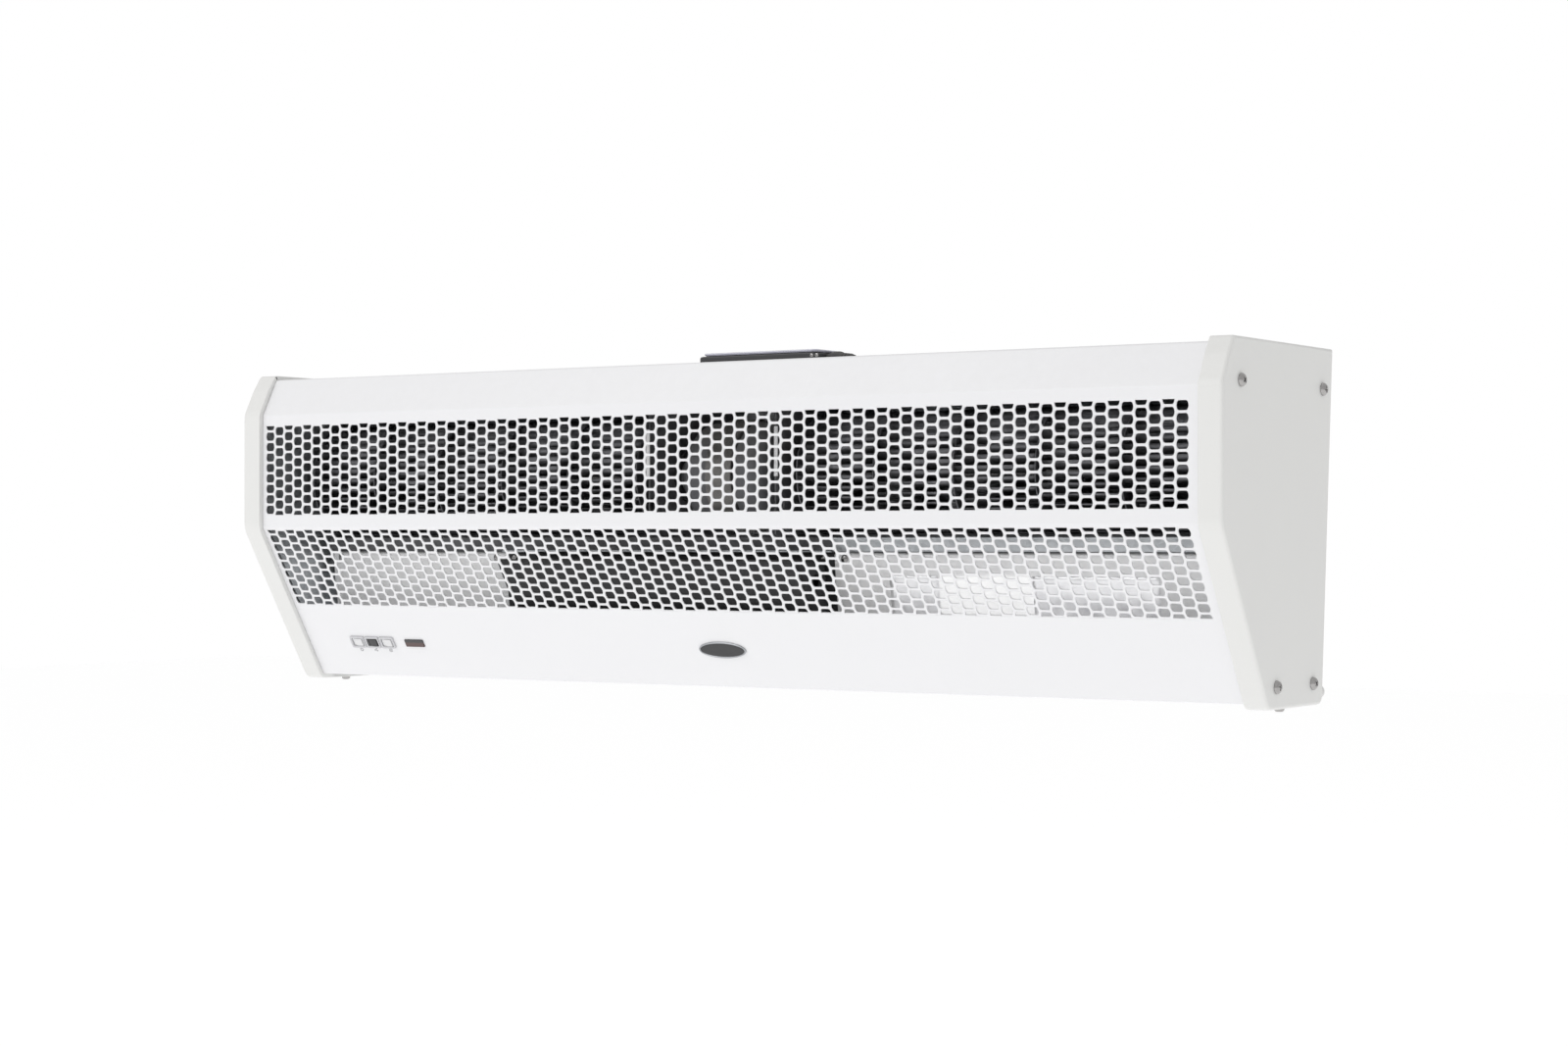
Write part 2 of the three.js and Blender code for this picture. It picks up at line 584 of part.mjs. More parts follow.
const bracketPlate = block([-BRACKET_HALF, BRACKET_HALF], [WALL_Y - 2.5, WALL_Y], BRACKET_Z);
const backFace = (z) => rearY(z) + GAP;
const ear = [
  [WALL_Y - 1, BRACKET_Z[0]], [WALL_Y - 1, BRACKET_Z[1]],
  [backFace(BRACKET_Z[1]), BRACKET_Z[1]], [backFace(BRACKET_Z[0]), BRACKET_Z[0]],
];
const ears = [-1, -0.33, 0.33, 1].map((share) => {
  const x = share * (BRACKET_HALF - 1.25);
  return alongX(ear, x - 1.25, x + 1.25);
});
const keyholes = [-280, -120, 120, 280].flatMap((x) => [135, 190].map(
  (z) => new THREE.CylinderGeometry(3.2, 3.2, 8, 10).translate(x, WALL_Y - 1, z),
));
add('wall_bracket', cut(join([bracketPlate, ...ears]), keyholes), GALVANISED);

addPair('rear_bumper', (sign) => {
  const front = rearY(0) + 4.2;
  const bumper = lathe([[0, 0], [6, 0], [5.2, BUMPER_LENGTH], [0, BUMPER_LENGTH]], 14);
  return bumper.translate(sign * (LENGTH / 2 - 9), front, BUMPER_Z);
}, paint(0xe6e6e4, 0.6));

// ---------------------------------------------------------------- the assembly

const heater = new THREE.Group();
heater.add(casing);
casing.position.set(0, -WALL_Y, -(BRACKET_Z[0] + BRACKET_Z[1]) / 2);

export default heater;
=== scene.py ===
from math import atan2, cos, pi, radians, sin, tan

import bmesh
import bpy
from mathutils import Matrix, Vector
from mathutils.geometry import tessellate_polygon


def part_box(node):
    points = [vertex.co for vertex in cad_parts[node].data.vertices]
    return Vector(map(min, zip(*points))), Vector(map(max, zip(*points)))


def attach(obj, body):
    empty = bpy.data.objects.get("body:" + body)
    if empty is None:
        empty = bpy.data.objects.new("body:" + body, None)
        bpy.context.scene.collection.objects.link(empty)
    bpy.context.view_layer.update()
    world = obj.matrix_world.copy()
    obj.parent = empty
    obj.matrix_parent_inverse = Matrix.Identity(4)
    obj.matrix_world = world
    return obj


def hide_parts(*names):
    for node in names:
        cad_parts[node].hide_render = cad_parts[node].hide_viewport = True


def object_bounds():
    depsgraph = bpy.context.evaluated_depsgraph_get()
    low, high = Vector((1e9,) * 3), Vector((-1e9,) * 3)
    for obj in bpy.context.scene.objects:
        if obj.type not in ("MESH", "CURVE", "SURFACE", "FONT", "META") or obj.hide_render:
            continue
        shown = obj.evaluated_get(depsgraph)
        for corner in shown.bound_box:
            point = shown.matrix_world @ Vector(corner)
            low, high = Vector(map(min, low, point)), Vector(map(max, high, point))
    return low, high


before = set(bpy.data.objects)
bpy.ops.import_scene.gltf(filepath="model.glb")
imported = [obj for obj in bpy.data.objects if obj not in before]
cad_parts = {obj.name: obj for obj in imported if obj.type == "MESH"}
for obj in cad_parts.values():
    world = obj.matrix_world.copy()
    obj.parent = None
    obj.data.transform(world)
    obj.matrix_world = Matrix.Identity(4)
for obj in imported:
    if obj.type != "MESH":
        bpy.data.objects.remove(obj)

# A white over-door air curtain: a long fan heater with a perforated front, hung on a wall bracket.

cad_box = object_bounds()

# ------------------------------------------------------------------ studio
# The room around the heater: a white cyclorama light, one big softbox high on the left, one weaker
# one low in front, and a pale floor well below the hanging heater.

camera_data = bpy.data.cameras.new("studio_camera")
camera_data.lens = 65.04
camera_data.sensor_width = 36
camera_data.clip_end = 60
camera = bpy.data.objects.new("studio_camera", camera_data)
camera.location = (1.245, -1.960, -0.0447)
camera.rotation_euler = (radians(90.383), 0, radians(33.114))
bpy.context.scene.collection.objects.link(camera)
bpy.context.scene.camera = camera
bpy.context.scene.view_settings.view_transform = "Standard"


def link_nodes(tree, *pairs):
    for source, target in pairs:
        tree.links.new(source, target)


def set_inputs(node, **values):
    """Sets a node's sockets by label, with an underscore for each space."""
    for label, value in values.items():
        node.inputs[label.replace("_", " ")].default_value = value


def softbox(name, place, aim, size, power):
    lamp = bpy.data.lights.new(name, "AREA")
    lamp.shape = "RECTANGLE"
    lamp.size, lamp.size_y = size
    lamp.energy = power
    holder = bpy.data.objects.new(name, lamp)
    holder.location = place
    holder.rotation_euler = (Vector(aim) - Vector(place)).to_track_quat("-Z", "Y").to_euler()
    bpy.context.scene.collection.objects.link(holder)


KEY_POWER = 31
FILL_POWER = 0.4
ROOM_LIGHT = (0.95, 0.8)
softbox("softbox_high", (-1.4, -2.6, 2.4), (0, -0.1, 0), (2.6, 1.8), KEY_POWER)
softbox("softbox_low", (-0.2, -2.8, -0.4), (0, -0.1, -0.05), (2.2, 1.0), FILL_POWER)

world = bpy.data.worlds.new("white_room")
bpy.context.scene.world = world
world.use_nodes = True
room = world.node_tree
room.nodes.clear()
room_out = room.nodes.new("ShaderNodeOutputWorld")
room_mix = room.nodes.new("ShaderNodeMixShader")
room_seen = room.nodes.new("ShaderNodeBackground")
room_light = room.nodes.new("ShaderNodeBackground")
room_path = room.nodes.new("ShaderNodeLightPath")
room_place = room.nodes.new("ShaderNodeTexCoord")
room_split = room.nodes.new("ShaderNodeSeparateXYZ")
room_side = room.nodes.new("ShaderNodeMapRange")
set_inputs(room_seen, Color=(1, 1, 1, 1), Strength=1.0)
set_inputs(room_side, From_Min=-1, From_Max=1, To_Min=ROOM_LIGHT[0], To_Max=ROOM_LIGHT[1])
link_nodes(
    room,
    (room_place.outputs["Generated"], room_split.inputs[0]),
    (room_split.outputs["X"], room_side.inputs["Value"]),
    (room_side.outputs["Result"], room_light.inputs["Strength"]),
    (room_path.outputs["Is Camera Ray"], room_mix.inputs[0]),
    (room_light.outputs[0], room_mix.inputs[1]),
    (room_seen.outputs[0], room_mix.inputs[2]),
    (room_mix.outputs[0], room_out.inputs["Surface"]),
)

FLOOR_DROP = 0.75
FLOOR_REACH = 14
FLOOR_GLOW = 0.32
floor_mesh = bpy.data.meshes.new("floor")
floor_mesh.from_pydata(
    [(FLOOR_REACH * i, FLOOR_REACH * j, 0) for i, j in ((-1, -1), (1, -1), (1, 1), (-1, 1))],
    [], [(0, 1, 2, 3)],
)
floor = bpy.data.objects.new("floor", floor_mesh)
floor.location.z = cad_box[0][2] - FLOOR_DROP
bpy.context.scene.collection.objects.link(floor)
floor_paint = bpy.data.materials.new("floor_paint")
floor_paint.use_nodes = True
floor_shader = floor_paint.node_tree.nodes["Principled BSDF"]
set_inputs(floor_shader, Base_Color=(0.96, 0.96, 0.96, 1), Roughness=0.9, Specular_IOR_Level=0.1,
           Emission_Color=(1, 1, 1, 1), Emission_Strength=FLOOR_GLOW)
floor_mesh.materials.append(floor_paint)

# ------------------------------------------------------------------ rear chassis
# One folded sheet of 1.2 mm steel: a bottom lip, the leaning back and the top, powder coated white.

MM = 0.001
case_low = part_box("end_cap_right")[0]
CASE_FRONT = case_low.y
CASE_FOOT = case_low.z


def in_case(x, y, z):
    """A point given in millimetres from the casing's middle, its front plane and its underside."""
    return Vector((x * MM, CASE_FRONT + y * MM, CASE_FOOT + z * MM))


def to_case(point):
    """The same three millimetre numbers, read back from a point of the frame."""
    return (point[0] / MM, (point[1] - CASE_FRONT) / MM, (point[2] - CASE_FOOT) / MM)


def case_box(node):
    """The low and high corners of a node's box, in the casing's millimetres."""
    return [to_case(corner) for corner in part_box(node)]


def case_middle(node):
    return [(low + high) / 2 for low, high in zip(*case_box(node))]


SOCKETS = {"Color": "NodeSocketColor", "Normal": "NodeSocketVector"}


def new_group(name, outputs, **inputs):
    """A node group whose inputs are given by label, with an underscore for each space."""
    group = bpy.data.node_groups.new(name, "ShaderNodeTree")
    for label, value in inputs.items():
        kind = "NodeSocketColor" if isinstance(value, tuple) else "NodeSocketFloat"
        socket = group.interface.new_socket(label.replace("_", " "), in_out="INPUT", socket_type=kind)
        socket.default_value = value
    for label in outputs:
        kind = SOCKETS.get(label, "NodeSocketFloat")
        group.interface.new_socket(label, in_out="OUTPUT", socket_type=kind)
    return group, group.nodes.new("NodeGroupInput"), group.nodes.new("NodeGroupOutput")


def object_place(tree):
    return tree.nodes.new("ShaderNodeTexCoord").outputs["Object"]


def axes_of(tree, source):
    node = tree.nodes.new("ShaderNodeSeparateXYZ")
    tree.links.new(source, node.inputs[0])
    return node.outputs


def add_math(tree, operation, a, b):
    node = tree.nodes.new("ShaderNodeMath")
    node.operation = operation
    for socket, value in zip(node.inputs, (a, b)):
        if isinstance(value, (int, float)):
            socket.default_value = value
        else:
            tree.links.new(value, socket)
    return node.outputs[0]


def add_noise(tree, place, scale, detail=2.0, rough=0.5):
    node = tree.nodes.new("ShaderNodeTexNoise")
    node.inputs["Detail"].default_value = detail
    node.inputs["Roughness"].default_value = rough
    tree.links.new(place, node.inputs["Vector"])
    if isinstance(scale, (int, float)):
        node.inputs["Scale"].default_value = scale
    else:
        tree.links.new(scale, node.inputs["Scale"])
    return node.outputs["Fac"]


def add_blend(tree, share, first, second, mode="MIX"):
    node = tree.nodes.new("ShaderNodeMix")
    node.data_type = "RGBA"
    node.blend_type = mode
    for socket, value in ((node.inputs[0], share), (node.inputs[6], first), (node.inputs[7], second)):
        if isinstance(value, (int, float, tuple)):
            socket.default_value = value
        else:
            tree.links.new(value, socket)
    return node.outputs[2]


# Orange peel: the low, soft waves that powder coat and moulded plastic keep when they cool.
peel, peel_in, peel_out = new_group("orange_peel", ["Normal"], Scale=420.0, Height=0.1, Grain=2600.0)
peel_place = object_place(peel)
peel_wave = add_noise(peel, peel_place, peel_in.outputs["Scale"], 1.0)
peel_grain = add_noise(peel, peel_place, peel_in.outputs["Grain"], 2.0)
peel_sum = add_math(peel, "ADD", peel_wave, add_math(peel, "MULTIPLY", peel_grain, 0.25))
peel_bump = peel.nodes.new("ShaderNodeBump")
peel_bump.inputs["Distance"].default_value = 0.0002
link_nodes(
    peel,
    (peel_in.outputs["Height"], peel_bump.inputs["Strength"]),
    (peel_sum, peel_bump.inputs["Height"]),
    (peel_bump.outputs["Normal"], peel_out.inputs["Normal"]),
)

# Handling marks: broad faint cloudiness, plus dust that settles on faces that look up.
marks, marks_in, marks_out = new_group(
    "handling_and_dust", ["Color", "Roughness"], Color=(0.8, 0.8, 0.8, 1), Cloud=0.04, Dust=0.2,
    Dust_Color=(0.55, 0.53, 0.5, 1), Roughness=0.4)
marks_place = object_place(marks)
marks_cloud = add_noise(marks, marks_place, 14.0, 4.0, 0.6)
marks_axes = axes_of(marks, marks.nodes.new("ShaderNodeNewGeometry").outputs["Normal"])
marks_up = add_math(marks, "MULTIPLY", add_math(marks, "MAXIMUM", marks_axes["Z"], 0.0),
                    marks_in.outputs["Dust"])
marks_dust = add_math(marks, "MULTIPLY", marks_up, add_noise(marks, marks_place, 130.0, 5.0, 0.7))
marks_dark = add_blend(marks, add_math(marks, "MULTIPLY", marks_cloud, marks_in.outputs["Cloud"]),
                       marks_in.outputs["Color"], (0.25, 0.25, 0.26, 1))
link_nodes(
    marks,
    (add_blend(marks, marks_dust, marks_dark, marks_in.outputs["Dust Color"]), marks_out.inputs["Color"]),
    (add_math(marks, "ADD", marks_in.outputs["Roughness"],
              add_math(marks, "ADD", add_math(marks, "MULTIPLY", marks_cloud, 0.08), marks_dust)),
     marks_out.inputs["Roughness"]),
)


def use_group(tree, group, values):
    node = tree.nodes.new("ShaderNodeGroup")
    node.node_tree = group
    for label, value in values.items():
        node.inputs[label].default_value = value
    return node


def new_finish(name, metallic=0.0, **fixed):
    """A material with a bare shader, and numbers that are the same all over set on its own sockets."""
    material = bpy.data.materials.new(name)
    material.use_nodes = True
    shader = material.node_tree.nodes["Principled BSDF"]
    set_inputs(shader, Metallic=metallic, **fixed)
    return material, material.node_tree, shader


def wear_skin(tree, shader, tone, relief):
    """Joins a group's colour and roughness, and another's normal, to the shader."""
    link_nodes(
        tree,
        (tone.outputs["Color"], shader.inputs["Base Color"]),
        (tone.outputs["Roughness"], shader.inputs["Roughness"]),
        (relief.outputs["Normal"], shader.inputs["Normal"]),
    )


def coated(name, color, roughness, peel_scale, peel_height, cloud, dust, grain=2600.0, **fixed):
    """Paint, powder or moulded plastic: a base colour with marks and dust over an orange-peel skin."""
    material, tree, shader = new_finish(name, **fixed)
    skin = use_group(tree, peel, {"Scale": peel_scale, "Height": peel_height, "Grain": grain})
    wear = use_group(tree, marks, {"Color": (*color, 1), "Cloud": cloud, "Dust": dust,
                                   "Roughness": roughness})
    wear_skin(tree, shader, wear, skin)
    return material


powder_coat = coated("white_powder_coat", (0.86, 0.86, 0.875), 0.3, 520.0, 0.16, 0.03, 0.25,
                     Coat_Weight=0.15, Coat_Roughness=0.2)
fixed_powder = ("casing", "powder_coat", powder_coat)


def piece(name, vertices, faces, body, slot, material, stands_for=(), smooth=35, weld=1e-6):
    """A mesh in the frame's metres that rides on a body, with its finish and the nodes it replaces."""
    mesh = bpy.data.meshes.new(name)
    mesh.from_pydata([tuple(v) for v in vertices], [], faces)
    mesh.validate()
    made = bpy.data.objects.new(name, mesh)
    bpy.context.scene.collection.objects.link(made)
    mesh.materials.append(material)
    tidy_mesh(mesh, weld)
    if smooth:
        mesh.shade_smooth()
        mesh.set_sharp_from_angle(angle=radians(smooth))
    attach(made, body)
    if stands_for:
        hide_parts(*stands_for)
    return made


def tidy_mesh(mesh, weld):
    work = bmesh.new()
    work.from_mesh(mesh)
    bmesh.ops.remove_doubles(work, verts=work.verts, dist=weld)
    bmesh.ops.dissolve_degenerate(work, edges=work.edges, dist=weld)
    bmesh.ops.recalc_face_normals(work, faces=work.faces)
    work.to_mesh(mesh)
    work.free()


def ring_faces(count, near, far):
    """Four-sided faces between two rings of points that start at the near and the far index."""
    return [(near + i, near + (i + 1) % count, far + (i + 1) % count, far + i) for i in range(count)]


def fold_points(path, radius, steps=3):
    """The path's points with each inner corner replaced by an arc of that bend radius."""
    points = [Vector(path[0])]
    for before, corner, after in zip(path, path[1:], path[2:]):
        corner = Vector(corner)
        into = (corner - Vector(before)).normalized()
        out = (Vector(after) - corner).normalized()
        turn = into.angle(out)
        reach = min(radius * tan(turn / 2), (corner - Vector(before)).length * 0.45,
                    (Vector(after) - corner).length * 0.45)
        start, end = corner - into * reach, corner + out * reach
        for i in range(steps + 1):
            t = i / steps
            points.append(start * (1 - t) ** 2 + corner * 2 * t * (1 - t) + end * t * t)
    return points + [Vector(path[-1])]


def offset_path(path, distance):
    """The path moved sideways, to the left of its direction, with its corners still sharp."""
    moved = []
    for i, point in enumerate(path):
        point = Vector(point)
        into = (point - Vector(path[i - 1])).normalized() if i else None
        out = (Vector(path[i + 1]) - point).normalized() if i + 1 < len(path) else into
        into = into or out
        left = [Vector((-way.y, way.x)) for way in (into, out)]
        middle = (left[0] + left[1]).normalized()
        moved.append(point + middle * distance / middle.dot(left[0]))
    return moved


def thicken(made, thickness, smooth_faces=True):
    """Gives an open sheet its real thickness, half of it on each side."""
    wall = made.modifiers.new("sheet_thickness", "SOLIDIFY")
    wall.thickness = thickness * MM
    wall.offset = 0
    if smooth_faces:
        flat = made.modifiers.new("flat_stays_flat", "WEIGHTED_NORMAL")
        flat.keep_sharp = True
    return made


def folded_sheet(name, path, across, thickness, body, slot, material, stands_for=(), radius=2.5):
    """A sheet bent along X: its outer face follows the (y, z) path and its metal lies to the left."""
    line = fold_points(offset_path(path, thickness / 2), radius)
    vertices = [in_case(x, *point) for point in line for x in across]
    faces = [(2 * i, 2 * i + 1, 2 * i + 3, 2 * i + 2) for i in range(len(line) - 1)]
    return thicken(piece(name, vertices, faces, body, slot, material, stands_for, smooth=40), thickness)


chassis_low, chassis_high = case_box("rear_chassis")
SHEET_THICKNESS = 1.2
LIP_DEPTH = 9.0
TOP_DEPTH = 194.5
FOOT_DEPTH = 173.6
CASE_HEIGHT = 258.8


def back_y(z):
    """The outer face of the leaning back at a height."""
    return chassis_high[1] - (chassis_high[2] - z) * (TOP_DEPTH - FOOT_DEPTH) / CASE_HEIGHT


chassis_path = [
    (back_y(chassis_low[2]) - LIP_DEPTH, chassis_low[2]), (back_y(chassis_low[2]), chassis_low[2]),
    (back_y(chassis_high[2]), chassis_high[2]), (chassis_low[1], chassis_high[2]),
]
folded_sheet("rear_chassis_sheet", chassis_path, (chassis_low[0], chassis_high[0]), SHEET_THICKNESS,
             *fixed_powder, ("rear_chassis",))

# ------------------------------------------------------------------ wall bracket and rear bumpers
# A folded channel of 2.5 mm zinc-coated steel with four ears whose edges follow the leaning back,
# punched with keyhole slots for the wall screws. A small domed plug sits in each cap's lower rear edge.

# Zinc spangle: the frost-like crystals of hot-dip zinc, each a little lighter or duller than the next.
spangle, spangle_in, spangle_out = new_group(
    "zinc_spangle", ["Color", "Roughness", "Normal"], Light=(0.62, 0.64, 0.66, 1),
    Dark=(0.42, 0.44, 0.46, 1), Crystals=160.0, Roughness=0.35)
spangle_place = object_place(spangle)
crystal = spangle.nodes.new("ShaderNodeTexVoronoi")
spangle.links.new(spangle_place, crystal.inputs["Vector"])
spangle.links.new(spangle_in.outputs["Crystals"], crystal.inputs["Scale"])
crystal_tone = spangle.nodes.new("ShaderNodeSeparateColor")
spangle.links.new(crystal.outputs["Color"], crystal_tone.inputs[0])
rolling = add_noise(spangle, spangle_place, 35.0, 3.0)
rolling_bump = spangle.nodes.new("ShaderNodeBump")
set_inputs(rolling_bump, Distance=0.0004, Strength=0.12)
tone = add_math(spangle, "ADD", add_math(spangle, "MULTIPLY", crystal_tone.outputs[0], 0.6),
                add_math(spangle, "MULTIPLY", rolling, 0.4))
link_nodes(
    spangle,
    (rolling, rolling_bump.inputs["Height"]),
    (add_blend(spangle, tone, spangle_in.outputs["Dark"], spangle_in.outputs["Light"]),
     spangle_out.inputs["Color"]),
    (add_math(spangle, "ADD", spangle_in.outputs["Roughness"], add_math(spangle, "MULTIPLY", tone, 0.14)),
     spangle_out.inputs["Roughness"]),
    (rolling_bump.outputs["Normal"], spangle_out.inputs["Normal"]),
)


def zinc_coated(name, light, dark, crystals, roughness, metallic=0.85, glow=0.0):
    material, tree, shader = new_finish(name, metallic)
    zinc = use_group(tree, spangle, {"Light": (*light, 1), "Dark": (*dark, 1),
                                     "Crystals": crystals, "Roughness": roughness})
    wear_skin(tree, shader, zinc, zinc)
    # A glow above zero is painted light: the sheet shines though it is no lamp.
    set_inputs(shader, Emission_Color=(1, 1, 1, 1), Emission_Strength=glow)
    return material


zinc_sheet = zinc_coated("zinc_coated_sheet", (0.72, 0.74, 0.76), (0.5, 0.52, 0.54), 170.0, 0.34)
fixed_zinc = ("casing", "zinc_sheet", zinc_sheet)


def circle(middle, radius, count=16):
    return [(middle[0] + radius * cos(2 * pi * i / count), middle[1] + radius * sin(2 * pi * i / count))
            for i in range(count)]


def rectangle(low, high):
    return [(low[0], low[1]), (high[0], low[1]), (high[0], high[1]), (low[0], high[1])]


def filleted(corners, reach, steps=4):
    """A closed outline whose corners are cut back by a reach, one number or one each, into arcs."""
    reaches = reach if isinstance(reach, list) else [reach] * len(corners)
    line = []
    for i, (corner, back) in enumerate(zip(corners, reaches)):
        corner = Vector(corner)
        start = corner + (Vector(corners[i - 1]) - corner).normalized() * back
        end = corner + (Vector(corners[(i + 1) % len(corners)]) - corner).normalized() * back
        for step in range(steps + 1 if back else 1):
            t = step / steps
            line.append(tuple(start * (1 - t) ** 2 + corner * 2 * t * (1 - t) + end * t * t))
    return line


def flat_faces(loops):
    """Triangles that fill an outline, the first loop, and leave out the holes that follow it."""
    return [tuple(t) for t in tessellate_polygon([[Vector((u, v, 0)) for u, v in loop] for loop in loops])]


def punched_plate(name, outline, holes, place, thickness, body, slot, material, stands_for=()):
    """A flat plate cut to an outline and punched with holes. place(u, v) puts its middle plane."""
    loops = [outline, *holes]
    made = piece(name, [place(u, v) for loop in loops for u, v in loop], flat_faces(loops), body, slot,
                 material, stands_for, smooth=0)
    return thicken(made, thickness, smooth_faces=False)


def upright_at(x):
    """The place of a plate that stands across the casing at x."""
    return lambda u, v: in_case(x, u, v)


bracket_low, bracket_high = case_box("wall_bracket")
BRACKET_SHEET = 2.5
KEYHOLE_X = (-280, -120, 120, 280)
KEYHOLE_RISE = (25, 80)
KEYHOLE_STAGGER = 0.0006


def keyhole(x, z):
    """A round entry that narrows upwards into a slot for the screw's neck."""
    entry = [(x + 5 * cos(a), z + 5 * sin(a)) for a in (radians(130 + 280 * i / 14) for i in range(15))]
    slot = [(x + 2.6, z + 5 + 4), (x + 1.9, z + 5 + 7), (x, z + 5 + 8), (x - 1.9, z + 5 + 7),
            (x - 2.6, z + 5 + 4)]
    return entry + slot


bracket_outline = filleted(rectangle(bracket_low[::2], bracket_high[::2]), 4)
bracket_holes = [keyhole(x, bracket_low[2] + rise - 4 + KEYHOLE_STAGGER * x)
                 for x in KEYHOLE_X for rise in KEYHOLE_RISE]
bracket_holes += [circle((x, bracket_low[2] + 52), 14, 24) for x in (-200, 0, 200)]
punched_plate("wall_bracket_plate", bracket_outline, bracket_holes,
              lambda u, v: in_case(u, bracket_high[1] - BRACKET_SHEET / 2, v), BRACKET_SHEET,
              *fixed_zinc, ("wall_bracket",))

for ear, share in enumerate((-1, -0.33, 0.33, 1)):
    ear_x = share * (bracket_high[0] - BRACKET_SHEET / 2)
    ear_root = bracket_high[1] - BRACKET_SHEET - 0.05
    ear_top, ear_foot = bracket_high[2] - 3, bracket_low[2] + 3
    ear_outline = [
        (ear_root, ear_foot), (ear_root, ear_top),
        (back_y(ear_top) + 0.4, ear_top), (back_y(ear_foot) + 0.4, ear_foot),
    ]
    punched_plate(f"wall_bracket_ear_{ear + 1}", filleted(ear_outline, 2), [],
                  upright_at(ear_x), BRACKET_SHEET, *fixed_zinc)


def turned(name, profile, axis_point, direction, body, slot, material, stands_for=(), sides=32, flat=1.0,
           smooth=35):
    """A turned piece: (distance along, radius) points spun about an axis. flat squeezes it along Z."""
    along = Vector(direction).normalized()
    across = Vector((0, 1, 0)) if abs(along.y) < 0.7 else Vector((1, 0, 0))
    across = (across - along * across.dot(along)).normalized()
    up = along.cross(across)
    start = Vector(axis_point)
    vertices, rings, faces = [], [], []
    for distance, radius in profile:
        if radius <= 0:
            rings.append([len(vertices)] * sides)
            vertices.append(start + along * distance * MM)
            continue
        rings.append(list(range(len(vertices), len(vertices) + sides)))
        for i in range(sides):
            a = 2 * pi * i / sides
            swing = across * cos(a) + up * sin(a) * flat
            vertices.append(start + along * distance * MM + swing * radius * MM)
    for ring, following in zip(rings, rings[1:]):
        for i in range(sides):
            j = (i + 1) % sides
            corners = [ring[i], ring[j], following[j], following[i]]
            kept = [c for n, c in enumerate(corners) if c not in corners[:n]]
            if len(kept) > 2:
                faces.append(kept)
    return piece(name, vertices, faces, body, slot, material, stands_for, smooth=smooth)


bumper_plastic = coated("white_bumper_plastic", (0.78, 0.78, 0.77), 0.5, 900.0, 0.2, 0.1, 0.2)
for side in ("left", "right"):
    bumper_low, bumper_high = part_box(f"rear_bumper_{side}")
    outward = 2.2 * MM if side == "right" else -2.2 * MM
    bumper_axis = ((bumper_low.x + bumper_high.x) / 2 + outward, bumper_low.y,
                   (bumper_low.z + bumper_high.z) / 2)
    length = (bumper_high.y - bumper_low.y) / MM + 2.5
    bumper_profile = [(0, 0), (0, 5.6), (0.4, 6), (1.6, 6), (2.2, 5.4), (length - 1.4, 5.2),
                      (length - 0.5, 4.6),
                      (length - 0.1, 3.4), (length, 1.6), (length - 0.5, 1.2), (length - 0.6, 0)]
    turned(f"rear_bumper_plug_{side}", bumper_profile, bumper_axis, (0, 1, 0), "casing", "cap_plastic",
           bumper_plastic, (f"rear_bumper_{side}",), sides=24)

# ------------------------------------------------------------------ end plates and shaft bushes
# Flat steel plates carry everything between them: they are punched for the cap screws, the vane
# pins and the fan shaft, and hold sintered bronze bushes in round flanges.

CASE_OUTLINE = [(194.5, 258.8), (19.6, 258.8), (11, 246.2), (0, 225.5), (0, 128.5), (77.5, 0), (173.6, 0)]
CAP_SCREW_PLACES = ((30, 228.5), (174, 228.5), (90, 16), (155, 16))
shaft_low, shaft_high = case_box("rotor_shaft")
SHAFT_Y, SHAFT_Z = case_middle("rotor_shaft")[1:]
SHAFT_RADIUS = 4.0
SIDES = (("left", -1), ("right", 1))
vane_axes = {vane: tuple(case_middle(f"outlet_vane_{vane}")[1:]) for vane in ("front", "rear")}


def inset(outline, distance):
    """The outline moved inwards by a distance, with its corners still sharp."""
    moved = []
    for i, corner in enumerate(outline):
        before, after = Vector(outline[i - 1]), Vector(outline[(i + 1) % len(outline)])
        into, out = (Vector(corner) - before).normalized(), (after - Vector(corner)).normalized()
        normals = [Vector((-d.y, d.x)) for d in (into, out)]
        middle = (normals[0] + normals[1]).normalized()
        moved.append(tuple(Vector(corner) + middle * distance / middle.dot(normals[0])))
    return moved


bronze = coated("sintered_bronze", (0.5, 0.34, 0.17), 0.42, 1500.0, 0.3, 0.4, 0.1, metallic=0.9)
END_PLATE_SHEET = 1.5
END_PLATE_INSET = 6.8
for side, sign in SIDES:
    plate_low, plate_high = case_box(f"end_plate_{side}")
    plate_x = (plate_low[0] + plate_high[0]) / 2
    holes = [circle(spot, 2.4) for spot in CAP_SCREW_PLACES]
    holes += [circle(spot, 2.4) for spot in vane_axes.values()]
    holes += [circle((SHAFT_Y, SHAFT_Z), 8, 24)]
    holes += [circle((SHAFT_Y + 18 * cos(a), SHAFT_Z + 18 * sin(a)), 2) for a in (0.8, 2.4, 3.9, 5.5)]
    punched_plate(f"end_plate_sheet_{side}", filleted(inset(CASE_OUTLINE, END_PLATE_INSET), 3), holes,
                  upright_at(plate_x), END_PLATE_SHEET,
                  *fixed_zinc, (f"end_plate_{side}",))
    bush_low, bush_high = case_box(f"shaft_bush_{side}")
    inner = bush_low[0] if sign > 0 else bush_high[0]
    outer = bush_high[0] if sign > 0 else bush_low[0]
    length = abs(outer - inner)
    bush_profile = [(0, 4.35), (0, 9.2), (0.8, 10), (5, 10), (5.6, 9.4), (5.6, 7.4), (length - 0.6, 7.4),
                    (length, 6.8), (length, 4.35), (0, 4.35)]
    turned(f"shaft_bush_ring_{side}", bush_profile, in_case(inner, SHAFT_Y, SHAFT_Z), (sign, 0, 0),
           "casing", "bronze", bronze, (f"shaft_bush_{side}",), sides=32)

